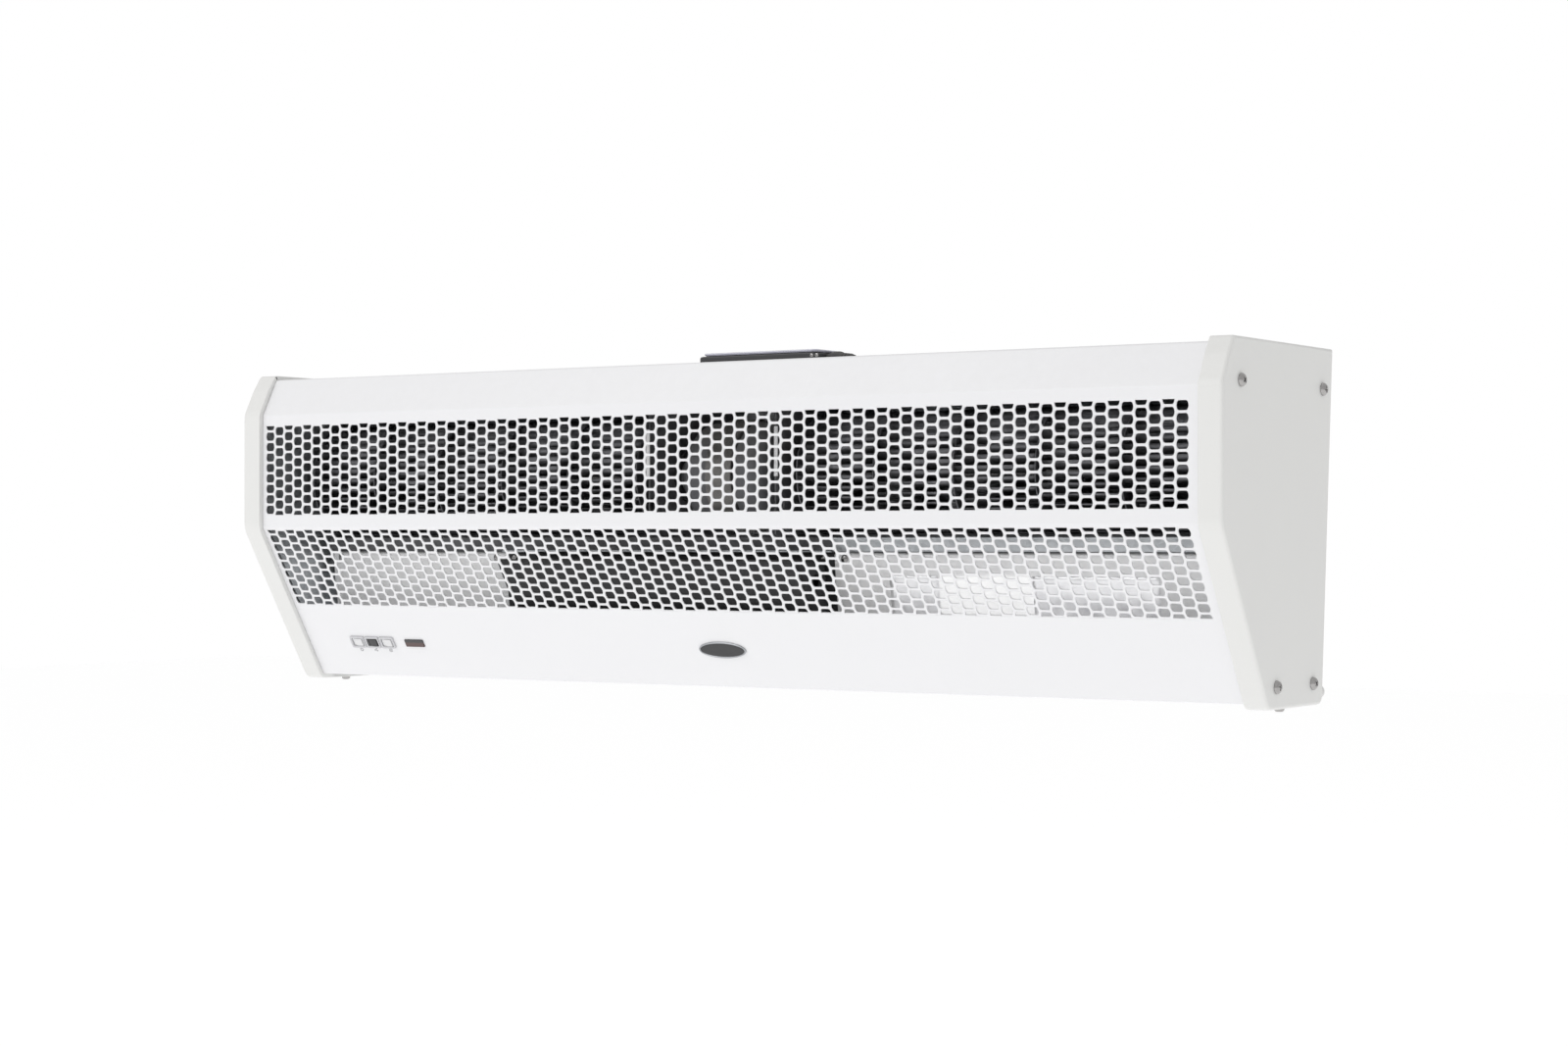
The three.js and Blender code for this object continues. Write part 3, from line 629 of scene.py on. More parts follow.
# ------------------------------------------------------------------ fan motor
# A double-ended capacitor motor: two pressed end bells round a stack of steel laminations, held by
# four through-bolts, with a boss at each end that sits in the punched plates beside it.

rubber = coated("black_rubber", (0.018, 0.018, 0.019), 0.72, 900.0, 0.3, 0.25, 0.25,
                Specular_IOR_Level=0.35)
fixed_rubber = ("casing", "black_rubber", rubber)
# A dark copy of the zinc finish: painted shade, for the motor plates and the left and middle duct lips
# inside the casing.
painted_shade_zinc = zinc_coated("painted_shade_zinc_sheet", (0.17, 0.17, 0.175), (0.09, 0.09, 0.095), 90.0, 0.5, 0.12)
fixed_painted_shade_zinc = ("casing", "zinc_sheet", painted_shade_zinc)
# A pale copy of the zinc finish that shines faintly: painted light, for the side duct walls and the motor
# tabs.
painted_light_zinc = zinc_coated("painted_light_zinc_sheet", (0.97, 0.97, 0.97), (0.86, 0.86, 0.87), 90.0, 0.36, 0.12,
                          0.08)
fixed_painted_light_zinc = ("casing", "zinc_sheet", painted_light_zinc)
MOTOR_HALF = case_box("fan_motor")[1][0]
BELL_RADIUS = 42.0
STACK_RADIUS = 44.3
TAB_RISE = (168, 206)
PLATE_HOLE_TURNS = (0.6, pi + 0.6, -0.6)
BELL_HALF = 44.0
motor_paint = coated("motor_grey_paint", (0.16, 0.16, 0.17), 0.42, 700.0, 0.25, 0.3, 0.5)
BORE = SHAFT_RADIUS + 0.4
bell_profile = [(0, BORE), (0, 12.5), (1.2, 14), (MOTOR_HALF - BELL_HALF, 14), (MOTOR_HALF - 40, 26),
                (MOTOR_HALF - 37, 36), (MOTOR_HALF - 32, 40.5), (MOTOR_HALF - 27, BELL_RADIUS),
                (MOTOR_HALF - 13, BELL_RADIUS),
                (MOTOR_HALF - 12.4, 40), (MOTOR_HALF - 12.4, BORE), (0, BORE)]
for side, sign in SIDES:
    turned(f"motor_bell_{side}", bell_profile, in_case(sign * MOTOR_HALF, SHAFT_Y, SHAFT_Z), (-sign, 0, 0),
           "casing", "motor_paint", motor_paint, ("fan_motor",), sides=48)

lamination_material, lamination_tree, lamination_shader = new_finish("steel_laminations", 0.8)
lamination_place = object_place(lamination_tree)
lamination_axes = axes_of(lamination_tree, lamination_place)
LAMINATION_PITCH = 0.0005
layer = add_math(lamination_tree, "FRACT", add_math(lamination_tree, "DIVIDE",
                                                    lamination_axes["X"], LAMINATION_PITCH), 0)
layer_edge = add_math(lamination_tree, "GREATER_THAN", layer, 0.82)
lamination_bump = lamination_tree.nodes.new("ShaderNodeBump")
lamination_bump.inputs["Distance"].default_value = 0.0001
lamination_bump.invert = True
link_nodes(
    lamination_tree,
    (add_blend(lamination_tree, layer_edge, (0.33, 0.32, 0.31, 1), (0.12, 0.11, 0.1, 1)),
     lamination_shader.inputs["Base Color"]),
    (add_math(lamination_tree, "ADD", 0.4, add_math(lamination_tree, "MULTIPLY", layer_edge, 0.3)),
     lamination_shader.inputs["Roughness"]),
    (layer_edge, lamination_bump.inputs["Height"]),
    (lamination_bump.outputs["Normal"], lamination_shader.inputs["Normal"]),
)
turned("motor_stack", [(0, BORE), (0, STACK_RADIUS - 0.6), (0.6, STACK_RADIUS), (23.4, STACK_RADIUS),
                       (24, STACK_RADIUS - 0.6),
                       (24, BORE), (0, BORE)],
       in_case(-12, SHAFT_Y, SHAFT_Z), (1, 0, 0), "casing", "motor_paint", lamination_material, sides=64)


def speckled(name, metallic, scale, detail, dark, light, rough, swing, stretch=(), glow=0.0):
    """Bare metal whose colour and roughness, and its glow if any, wander with one noise. The glow is
    painted light.
    """
    material, tree, shader = new_finish(name, metallic)
    place = object_place(tree)
    if stretch:
        brushed = tree.nodes.new("ShaderNodeMapping")
        brushed.inputs["Scale"].default_value = stretch
        tree.links.new(place, brushed.inputs["Vector"])
        place = brushed.outputs["Vector"]
    grain = add_noise(tree, place, scale, detail)
    link_nodes(
        tree,
        (add_blend(tree, grain, (*dark, 1), (*light, 1)), shader.inputs["Base Color"]),
        (add_math(tree, "ADD", rough, add_math(tree, "MULTIPLY", grain, swing)),
         shader.inputs["Roughness"]),
    )
    if glow:
        shader.inputs["Emission Color"].default_value = (1, 1, 1, 1)
        tree.links.new(add_math(tree, "MULTIPLY", grain, glow), shader.inputs["Emission Strength"])
    return material


bright_material = speckled("bright_plating", 1.0, 300.0, 4.0, (0.34, 0.33, 0.33), (0.5, 0.49, 0.48), 0.1,
                           0.16)
fixed_steel = ("casing", "bright_steel", bright_material)
turning_steel = ("rotor", "bright_steel", bright_material)
link_steel = ("link", "bright_steel", bright_material)
bolt_profile = [(0, 0), (0, 2.6), (0.6, 3), (3.4, 3), (4, 2.6), (4, 1.5), (60, 1.5), (60, 2.6), (63.4, 2.6),
                (64, 2.2), (64, 0)]
for bolt, turn in enumerate((45, 135, 225, 315)):
    a = radians(turn)
    turned(f"motor_bolt_{bolt + 1}", bolt_profile,
           in_case(-32, SHAFT_Y + 37 * cos(a), SHAFT_Z + 37 * sin(a)),
           (1, 0, 0), *fixed_steel, sides=6)

for side, sign in SIDES:
    plate_low, plate_high = case_box(f"motor_plate_{side}")
    front, foot, top = plate_low[1], plate_low[2], plate_high[2]
    plate_x = (plate_low[0] + plate_high[0]) / 2
    outline = [(plate_high[1], top), (front, top), (front, foot), (back_y(foot) - 5, foot)]
    holes = [circle((SHAFT_Y, SHAFT_Z), 16, 32)]
    holes += [circle((SHAFT_Y + 56 * cos(a), SHAFT_Z + 40 * sin(a)), 6, 20) for a in PLATE_HOLE_TURNS]
    # The motor plates take the dark zinc copy: painted shade.
    punched_plate(f"motor_plate_sheet_{side}", filleted(outline, 3), holes,
                  upright_at(plate_x), END_PLATE_SHEET,
                  *fixed_painted_shade_zinc, (f"motor_plate_{side}",))
    # A narrow tab of the pale, shining zinc on the plate's front edge: a painted highlight.
    tab_low, tab_high = sorted((sign * (abs(plate_x) - 0.7), sign * (abs(plate_x) + 2.3)))
    punched_plate(f"motor_tab_{side}", rectangle((tab_low, TAB_RISE[0]), (tab_high, TAB_RISE[1])), [],
                  lambda u, v: in_case(u, front - 0.5, v), 0.8,
                  *fixed_painted_light_zinc)
    ring_profile = [(0, 14.2), (0, 19), (0.8, 20), (2.4, 20), (3.2, 19), (3.2, 14.2), (0, 14.2)]
    turned(f"motor_grommet_{side}", ring_profile, in_case(plate_x - sign * 4, SHAFT_Y, SHAFT_Z),
           (sign, 0, 0),
           *fixed_rubber)

# ------------------------------------------------------------------ rotor
# One ground steel shaft through the motor, with a tangential impeller on each side: thin discs
# every 69 mm, and thirty-six curved aluminium blades staked between each two of them.

shaft_length = shaft_high[0] - shaft_low[0]
turned("rotor_shaft_ground", [(0, 0), (0, 3.2), (0.8, SHAFT_RADIUS), (shaft_length - 0.8, SHAFT_RADIUS),
                              (shaft_length, 3.2), (shaft_length, 0)],
       in_case(shaft_low[0], SHAFT_Y, SHAFT_Z), (1, 0, 0), *turning_steel,
       ("rotor_shaft",), sides=32)

FAN_RADIUS = 47.8
BLADE_COUNT = 36
SECTIONS = 5
BLADE_INNER = 37.5
BLADE_STEPS = 4
BLADE_SHEET = 0.45
DISC_SHEET = 0.9

fan_material = zinc_coated("dark_fan_aluminium", (0.3, 0.3, 0.315), (0.14, 0.14, 0.15), 60.0, 0.3, 0.75)
turning_fan = ("rotor", "fan_aluminium", fan_material)


def spun(x, radius, angle):
    return in_case(x, SHAFT_Y + radius * sin(angle), SHAFT_Z + radius * cos(angle))


def add_blades(vertices, faces, x0, x1, start_angle):
    """One section's blades, each a strip whose section is a short arc that leans forwards."""
    for blade in range(BLADE_COUNT):
        base = start_angle + 2 * pi * blade / BLADE_COUNT
        first = len(vertices)
        for step in range(BLADE_STEPS + 1):
            share = step / BLADE_STEPS
            radius = BLADE_INNER + (FAN_RADIUS - 0.8 - BLADE_INNER) * share
            angle = base + 0.13 * share * share
            vertices += [spun(x0, radius, angle), spun(x1, radius, angle)]
        for step in range(BLADE_STEPS):
            a = first + 2 * step
            faces.append((a, a + 1, a + 3, a + 2))


for side, sign in SIDES:
    fan_low, fan_high = case_box(f"impeller_{side}")
    inner, outer = (fan_low[0], fan_high[0]) if sign > 0 else (fan_high[0], fan_low[0])
    inner += sign * 2
    stations = [inner + (outer - inner) * i / SECTIONS for i in range(SECTIONS + 1)]
    vertices, faces = [], []
    for section, (x0, x1) in enumerate(zip(stations, stations[1:])):
        add_blades(vertices, faces, x0, x1, section * 0.35 * 2 * pi / BLADE_COUNT)
    blades = piece(f"impeller_blades_{side}", vertices, faces, *turning_fan,
                   (f"impeller_{side}",), smooth=40)
    thicken(blades, BLADE_SHEET, smooth_faces=False)
    for station, x in enumerate(stations):
        ring_inner = 9.5 if station in (0, SECTIONS) else 31
        half = DISC_SHEET / 2
        shift = half if station == 0 else -half if station == SECTIONS else 0
        ring = [(-half, ring_inner), (-half, FAN_RADIUS - 0.3), (-half * 0.4, FAN_RADIUS),
                (half * 0.4, FAN_RADIUS),
                (half, FAN_RADIUS - 0.3), (half, ring_inner), (-half, ring_inner)]
        turned(f"impeller_disc_{side}_{station}", ring, in_case(x + sign * shift, SHAFT_Y, SHAFT_Z),
               (1, 0, 0),
               *turning_fan, sides=72)
        if station in (0, SECTIONS):
            reach = 14 if station == 0 else -10
            hub = [(0, SHAFT_RADIUS + 0.05), (0, 9.2), (0.6, 9.8), (abs(reach) - 0.6, 9.8),
                   (abs(reach), 9.2),
                   (abs(reach), SHAFT_RADIUS + 0.05), (0, SHAFT_RADIUS + 0.05)]
            turned(f"impeller_hub_{side}_{station}", hub, in_case(x, SHAFT_Y, SHAFT_Z),
                   (sign if reach > 0 else -sign, 0, 0), *turning_steel, sides=32)

# ------------------------------------------------------------------ scrolls and duct walls
# Thin zinc-coated sheets guide the air: a spiral behind each impeller and, below it, the front wall
# of the duct under a rolled lip close to the blades. The middle wall is painted black, and two
# patches of crumpled foil tape seal the walls beside it. The side walls use a pale copy of the zinc
# that shines faintly, painted light; the left and middle lips use a dark copy, painted shade; and
# the foil shines faintly too, painted light.

DUCT_SHEET = 1.0
SCROLL_STEPS = 24
SCROLL_TURN = (-20, 150)
SCROLL_RADIUS = (55, 24)
SCROLL_TAIL_Y = 158.2
for side in ("left", "right"):
    scroll_low, scroll_high = case_box(f"scroll_{side}")
    scroll_path = [(SCROLL_TAIL_Y, scroll_low[2] + 0.1)]
    for i in range(SCROLL_STEPS, -1, -1):
        angle = radians(SCROLL_TURN[0] + SCROLL_TURN[1] * i / SCROLL_STEPS)
        radius = SCROLL_RADIUS[0] + SCROLL_RADIUS[1] * i / SCROLL_STEPS
        scroll_path.append((SHAFT_Y + radius * sin(angle), SHAFT_Z + radius * cos(angle)))
    folded_sheet(f"scroll_sheet_{side}", scroll_path, (scroll_low[0], scroll_high[0]), DUCT_SHEET,
                 *fixed_zinc, (f"scroll_{side}",), radius=1)

black_sheet = coated("matt_black_paint", (0.016, 0.016, 0.018), 0.6, 700.0, 0.25, 0.2, 0.25)
WALL_GAP = 7.5
# The side walls take the pale zinc copy that shines faintly: painted light.
for side, finish in (("left", painted_light_zinc), ("centre", black_sheet), ("right", painted_light_zinc)):
    wall_low, wall_high = case_box(f"duct_plate_{side}")
    start = wall_low[0] + (WALL_GAP if side == "left" else 0)
    duct_path = [(80, 109.8), (77, 108.8), (79.2, 87), (wall_high[1] - 1.2, wall_low[2] + 0.1)]
    folded_sheet(f"duct_wall_{side}", duct_path, (start, wall_high[0]), DUCT_SHEET, "casing",
                 "black_sheet" if side == "centre" else "zinc_sheet", finish, (f"duct_plate_{side}",),
                 radius=1.5)
    lip_path = [(83, 123.5), (73, 121.5), (73.8, 110.6)]
    # The left and middle lips take the dark zinc copy, painted shade; the right lip takes the plain zinc.
    folded_sheet(f"duct_lip_{side}", lip_path, (start, wall_high[0]), DUCT_SHEET, "casing", "zinc_sheet",
                 zinc_sheet if side == "right" else painted_shade_zinc, (), radius=2)
    if side == "centre":
        folded_sheet("duct_hem_centre", [(75.6, 111.6), (72.6, 111.2), (72.8, 109.4)],
                     (start, wall_high[0]), 0.8,
                     *fixed_zinc, (), radius=0.6)
    for screw, x in enumerate((start + 9, wall_high[0] - 9)):
        head = [(0, 0), (0, 3.2), (0.8, 3.1), (1.9, 1.8), (2.1, 0)]
        turned(f"duct_screw_{side}_{screw + 1}", head, in_case(x, 77.6, 105), (0, -1, 0.08), *fixed_steel,
               sides=20)

FOIL_PATCHES = (("left", 142, 184), ("right", 264, 366))
FOIL_RISE = (62.0, 92.5)
FOIL_ROWS = 10
FOIL_STEP = 3.4
# The foil's glow, which wanders with its noise, is painted light on a tape that is no lamp.
foil_painted_glow_material = speckled("crumpled_foil_tape_painted_glow", 0.9, 130.0, 3.0, (0.78, 0.78, 0.8), (0.98, 0.98, 1), 0.22,
                         0.2, glow=0.36)
for side, patch_low, patch_high in FOIL_PATCHES:
    columns = round((patch_high - patch_low) / FOIL_STEP)
    vertices = []
    for row in range(FOIL_ROWS + 1):
        z = FOIL_RISE[0] + (FOIL_RISE[1] - FOIL_RISE[0]) * row / FOIL_ROWS
        for column in range(columns + 1):
            ripple = 0.35 * sin(2.9 * row + 1.7 * column) + 0.3 * sin(1.3 * row - 2.3 * column)
            depth = 77 + (FOIL_RISE[1] - z) * 0.14 + ripple
            vertices.append(in_case(patch_low + (patch_high - patch_low) * column / columns, depth, z))
    wide = columns + 1
    faces = [(a, a + 1, a + 1 + wide, a + wide)
             for row in range(FOIL_ROWS) for a in range(row * wide, row * wide + columns)]
    thicken(piece(f"duct_foil_{side}", vertices, faces, "casing", "zinc_sheet", foil_painted_glow_material, smooth=60),
            0.1, smooth_faces=False)

# The label paper shines by its own emission: painted light that keeps it white inside the dim casing.
label_paper_painted_light = coated("blank_label_paper_painted_light", (0.95, 0.95, 0.95), 0.55, 1200.0, 0.05, 0.02, 0.05,
                     Emission_Color=(1, 1, 1, 1), Emission_Strength=0.45)
label_low, label_high = case_box("blank_label")
label_outline = filleted(rectangle(label_low[::2], label_high[::2]), 2)
label_lean = (label_high[1] - label_low[1]) / (label_high[2] - label_low[2])
punched_plate("blank_label_sticker", label_outline, [],
              lambda u, v: in_case(u, label_high[1] + 0.2 - (v - label_low[2]) * label_lean, v), 0.15,
              "casing", "label_paper", label_paper_painted_light, ("blank_label",))

# ------------------------------------------------------------------ front panel
# One sheet of 0.9 mm steel, punched with two fields of barrel-shaped holes, then folded into a top
# flange, a bevel, an upright face, a slanted face and a bottom flange, and powder coated white.

panel_low, panel_high = case_box("front_panel")
PANEL_SETBACK = panel_low[1]
PANEL_TOP = panel_high[2]
PANEL_FOOT = panel_low[2]
BEVEL_Z = 225.5
SLANT_Z = 128.5
SLANT = atan2(77.5, SLANT_Z)
BEVEL = atan2(11, 246.2 - BEVEL_Z)
COLUMNS = 82
COLUMN_PITCH = 10.385
FIRST_COLUMN = -422.8
ROWS = 8.5
FIELD_MARGIN = 1.0
UPPER_FIELD = (215.4, 140.5)
LOWER_FIELD = (2.2, 76.0)
HOLE_CORNER = [(4.6, 0), (4.35, 1.6), (3.75, 2.9), (2.7, 3.45)]
SWITCH_HOLE = (13.8, 9.6)
WINDOW_HOLE = (17.6, 5)


def slope_middle(node):
    """How far down the slanted face a node's box is centred, and where along the casing."""
    x, y, z = case_middle(node)
    return x, (y - PANEL_SETBACK) * sin(SLANT) + (slant_bend - z) * cos(SLANT)


def bevel_y(z):
    return PANEL_SETBACK / cos(BEVEL) + (z - BEVEL_Z) * tan(BEVEL)


def slant_y(z):
    return PANEL_SETBACK / cos(SLANT) + (SLANT_Z - z) * tan(SLANT)


bevel_bend = BEVEL_Z - (bevel_y(BEVEL_Z) - PANEL_SETBACK) / tan(BEVEL)
slant_bend = SLANT_Z + (slant_y(SLANT_Z) - PANEL_SETBACK) / tan(SLANT)
switch_places = [slope_middle(f"switch_bezel_{i}") for i in (1, 2, 3)]
WINDOW_X, CONTROL_S = slope_middle("receiver_window")
FOLD_STEPS = 4
panel_path = [
    (bevel_y(PANEL_TOP) + 14, PANEL_TOP), (bevel_y(PANEL_TOP), PANEL_TOP), (PANEL_SETBACK, bevel_bend),
    (PANEL_SETBACK, slant_bend), (slant_y(PANEL_FOOT), PANEL_FOOT), (slant_y(PANEL_FOOT) + 11, PANEL_FOOT),
]
PANEL_SHEET = 0.9
panel_line = fold_points(offset_path(panel_path, PANEL_SHEET / 2), 2.5, FOLD_STEPS)
panel_vertices, panel_faces = [], []


def add_flat(start, end, loops):
    """Fills an outline with holes in the plane from start to end; its points are (x, distance down)."""
    first = len(panel_vertices)
    down = (end - start).normalized()
    panel_vertices.extend(in_case(x, *(start + down * w)) for loop in loops for x, w in loop)
    panel_faces.extend(tuple(first + i for i in t) for t in flat_faces(loops))


def hole_outline(x, w, upper=True, lower=True):
    """One barrel-shaped hole, or the half of it that lies above or below its middle line."""
    line = []
    if lower:
        line += [(x + u, w + v) for u, v in HOLE_CORNER] + [(x - u, w + v) for u, v in HOLE_CORNER[::-1]]
    if upper:
        top = [(x - u, w - v) for u, v in HOLE_CORNER] + [(x + u, w - v) for u, v in HOLE_CORNER[::-1]]
        line += top[1:-1] if lower else top
    return line


def add_perforated(start, end, field_top, field_foot, cut_outs):
    """One flat face of the panel with its field of holes, and square cut-outs below the field."""
    pitch = (field_foot - field_top) / ROWS
    side = [field_top - FIELD_MARGIN]
    side += [field_top + pitch / 2 * (step + 1) for step in range(int(2 * ROWS) - 1)]
    side += [field_foot + FIELD_MARGIN]
    edges = [FIRST_COLUMN + COLUMN_PITCH * (column - 0.5) for column in range(COLUMNS + 1)]
    for column in range(COLUMNS):
        x = FIRST_COLUMN + COLUMN_PITCH * column
        half_first = column % 2 == 0
        stops = sorted({0, len(side) - 1, *range(1 if half_first else 2, len(side) - 1, 2)})
        for top, foot in zip(stops, stops[1:]):
            rows = side[top:foot + 1]
            outline = [(edges[column], w) for w in rows] + [(edges[column + 1], w) for w in rows[::-1]]
            half_top = half_first and top == 0
            half_foot = not half_first and foot == len(side) - 1
            middle = field_top if half_top else field_foot if half_foot else side[foot - 1]
            add_flat(start, end, [outline, hole_outline(x, middle, not half_top, not half_foot)])
    border = [(edges[0], w) for w in side] + [(x, side[-1]) for x in edges[1:-1]]
    border += [(edges[-1], w) for w in side[::-1]] + [(x, side[0]) for x in edges[-2:0:-1]]
    length = (end - start).length
    x0, x1 = panel_low[0], panel_high[0]
    add_flat(start, end, [[(x0, 0), (x0, length), (x1, length), (x1, 0)], border, *cut_outs])


def square(x, w, width, height):
    return [(x + i * width / 2, w + j * height / 2) for i, j in ((-1, -1), (-1, 1), (1, 1), (1, -1))]


upright = panel_line[2 * FOLD_STEPS + 2], panel_line[2 * FOLD_STEPS + 3]
slanted = panel_line[3 * FOLD_STEPS + 3], panel_line[3 * FOLD_STEPS + 4]
add_perforated(*upright, *(upright[0].y - z for z in UPPER_FIELD), [])
slope_way = (slanted[1] - slanted[0]).normalized()
slope_start = (Vector((PANEL_SETBACK, slant_bend)) - slanted[0]).dot(slope_way)
slope_cuts = [square(x, slope_start + CONTROL_S, *SWITCH_HOLE) for x, _ in switch_places]
slope_cuts.append(square(WINDOW_X, slope_start + CONTROL_S, *WINDOW_HOLE))
add_perforated(*slanted, *(slope_start + s for s in LOWER_FIELD), slope_cuts)
for near, far in zip(panel_line, panel_line[1:]):
    if (near, far) not in (upright, slanted):
        add_flat(near, far, [[(panel_low[0], 0), (panel_low[0], (far - near).length),
                              (panel_high[0], (far - near).length), (panel_high[0], 0)]])
panel = piece("front_panel_sheet", panel_vertices, panel_faces, *fixed_powder,
              ("front_panel",), smooth=40, weld=2e-6)
thicken(panel, PANEL_SHEET)

# ------------------------------------------------------------------ end caps
# Deep mouldings of white plastic that close the ends. Their rim stands 4 mm proud of the sheet
# all round, and the edge towards the side face is rounded.

cap_plastic = coated("white_cap_plastic", (0.8, 0.8, 0.785), 0.34, 380.0, 0.1, 0.03, 0.25, 3200.0)
CAP_REACHES = [0, 2, 2, 4, 6, 5, 7]
cap_outline = filleted(CASE_OUTLINE, CAP_REACHES)
CAP_RIM = 6.6
CAP_WALL = 2.6


def lofted(name, loops, body, slot, material, stands_for=(), smooth=35):
    """A closed skin over a row of loops with the same number of points, filled at both ends."""
    count = len(loops[0])
    faces = [face for row in range(len(loops) - 1) for face in ring_faces(count, row * count,
        (row + 1) * count)]
    faces += [tuple(range(count)), tuple(range((len(loops) - 1) * count, len(loops) * count))]
    made = piece(name, [point for loop in loops for point in loop], faces, body, slot, material, stands_for,
                 smooth=smooth)
    flat = made.modifiers.new("flat_stays_flat", "WEIGHTED_NORMAL")
    flat.keep_sharp = True
    return made


for side, sign in SIDES:
    cap_low, cap_high = case_box(f"end_cap_{side}")
    width = cap_high[0] - cap_low[0]
    face_x = cap_high[0] if sign > 0 else cap_low[0]
    rows = [(CAP_WALL, CAP_RIM + 1.5), (CAP_WALL + 1.5, CAP_RIM), (width, CAP_RIM), (width, 0.5),
            (width - 0.5, 0), (2.6, 0), (1.5, 0.25), (0.7, 0.75), (0.2, 1.5), (0, 2.6)]
    loops = [[in_case(face_x - sign * deep, y, z) for y, z in inset(cap_outline, inward)]
             for deep, inward in rows]
    lofted(f"end_cap_moulding_{side}", loops, "casing", "cap_plastic", cap_plastic, (f"end_cap_{side}",))

# ------------------------------------------------------------------ cap and foot screws
# Chromed pan-head screws with a cross recess: four through the side face of each cap into the end
# plate, and a smaller one in the underside of each cap.

CAP_HEAD = 3
FOOT_HEAD = 2.6
CROSS = [(1, 5), (1, 1), (5, 1), (5, -1), (1, -1), (1, -5), (-1, -5), (-1, -1), (-5, -1), (-5, 1), (-1, 1),
         (-1, 5)]


def cross_screw(name, seat, direction, head_radius, head_height, shank, stands_for, turn):
    """A pan head with a real cross-shaped recess, on a shank that runs into the work."""
    out = Vector(direction)
    side = out.orthogonal().normalized()
    up = out.cross(side)
    sides = 32

    def at(u, v, rise):
        return Vector(seat) + (side * u + up * v + out * rise) * MM

    flat_radius = head_radius * 0.6
    profile = [(-shank, 0.5), (-shank + 3, 1.9), (0, 1.9), (0, head_radius),
               (head_height * 0.45, head_radius * 0.95),
               (head_height * 0.75, head_radius * 0.82), (head_height * 0.95, flat_radius)]
    vertices, faces = [], []
    for rise, radius in profile:
        vertices += [at(radius * cos(2 * pi * i / sides), radius * sin(2 * pi * i / sides),
                        rise) for i in range(sides)]
    for row in range(len(profile) - 1):
        faces += ring_faces(sides, row * sides, (row + 1) * sides)
    faces.append(tuple(range(sides)))
    arm = flat_radius * 0.17
    cosine, sine = cos(turn), sin(turn)
    cross = [(arm * (u * cosine - v * sine), arm * (u * sine + v * cosine)) for u, v in CROSS]
    rim = (len(profile) - 1) * sides
    mouth = len(vertices)
    vertices += [at(u, v, head_height * 0.95) for u, v in cross]
    rim_loop = [(flat_radius * cos(2 * pi * i / sides),
                 flat_radius * sin(2 * pi * i / sides)) for i in range(sides)]
    faces += [tuple(rim + i if i < sides else mouth + i - sides for i in t) for t in flat_faces([rim_loop,
        cross])]
    pit = len(vertices)
    vertices += [at(u * 0.7, v * 0.7, head_height * 0.3) for u, v in cross]
    faces += ring_faces(len(CROSS), mouth, pit)
    faces += [tuple(pit + i for i in t) for t in flat_faces([cross])]
    piece(name, vertices, faces, *fixed_steel, stands_for, smooth=30)


for side, sign in SIDES:
    for screw in range(1, 5):
        screw_low, screw_high = case_box(f"cap_screw_{side}_{screw}")
        y, z = case_middle(f"cap_screw_{side}_{screw}")[1:]
        face_x = screw_high[0] - CAP_HEAD if sign > 0 else screw_low[0] + CAP_HEAD
        cross_screw(f"cap_screw_head_{side}_{screw}", in_case(face_x, y, z), (sign, 0, 0), 4.8, CAP_HEAD,
                    20,
                    (f"cap_screw_{side}_{screw}",), 0.4 + 1.1 * screw)
    x, y, _ = case_middle(f"foot_screw_{side}")
    seat = in_case(x, y, case_box(f"foot_screw_{side}")[0][2] + FOOT_HEAD)
    cross_screw(f"foot_screw_head_{side}", seat, (0, 0, -1), 3.9, FOOT_HEAD, 6, (f"foot_screw_{side}",),
                0.7)

# ------------------------------------------------------------------ rocker switches
# Three snap-in rockers in pale grey frames; the middle key is black. Each key tips left and right on
# an axis that runs up the slope. Small printed symbols below them: power, fan and heat.

CORNER_STEPS = 3


def on_slope(x, s, out):
    """A point of the slanted face: along the casing, down the slope and outwards from the sheet."""
    return in_case(x, PANEL_SETBACK + s * sin(SLANT) - out * cos(SLANT),
                   slant_bend - s * cos(SLANT) - out * sin(SLANT))


def slope_loop(x, s, width, height, corner, out):
    """A rounded rectangle that lies parallel to the slanted face."""
    line = filleted(square(x, s, width, height), corner, CORNER_STEPS)
    return [on_slope(u, w, out) for u, w in line]


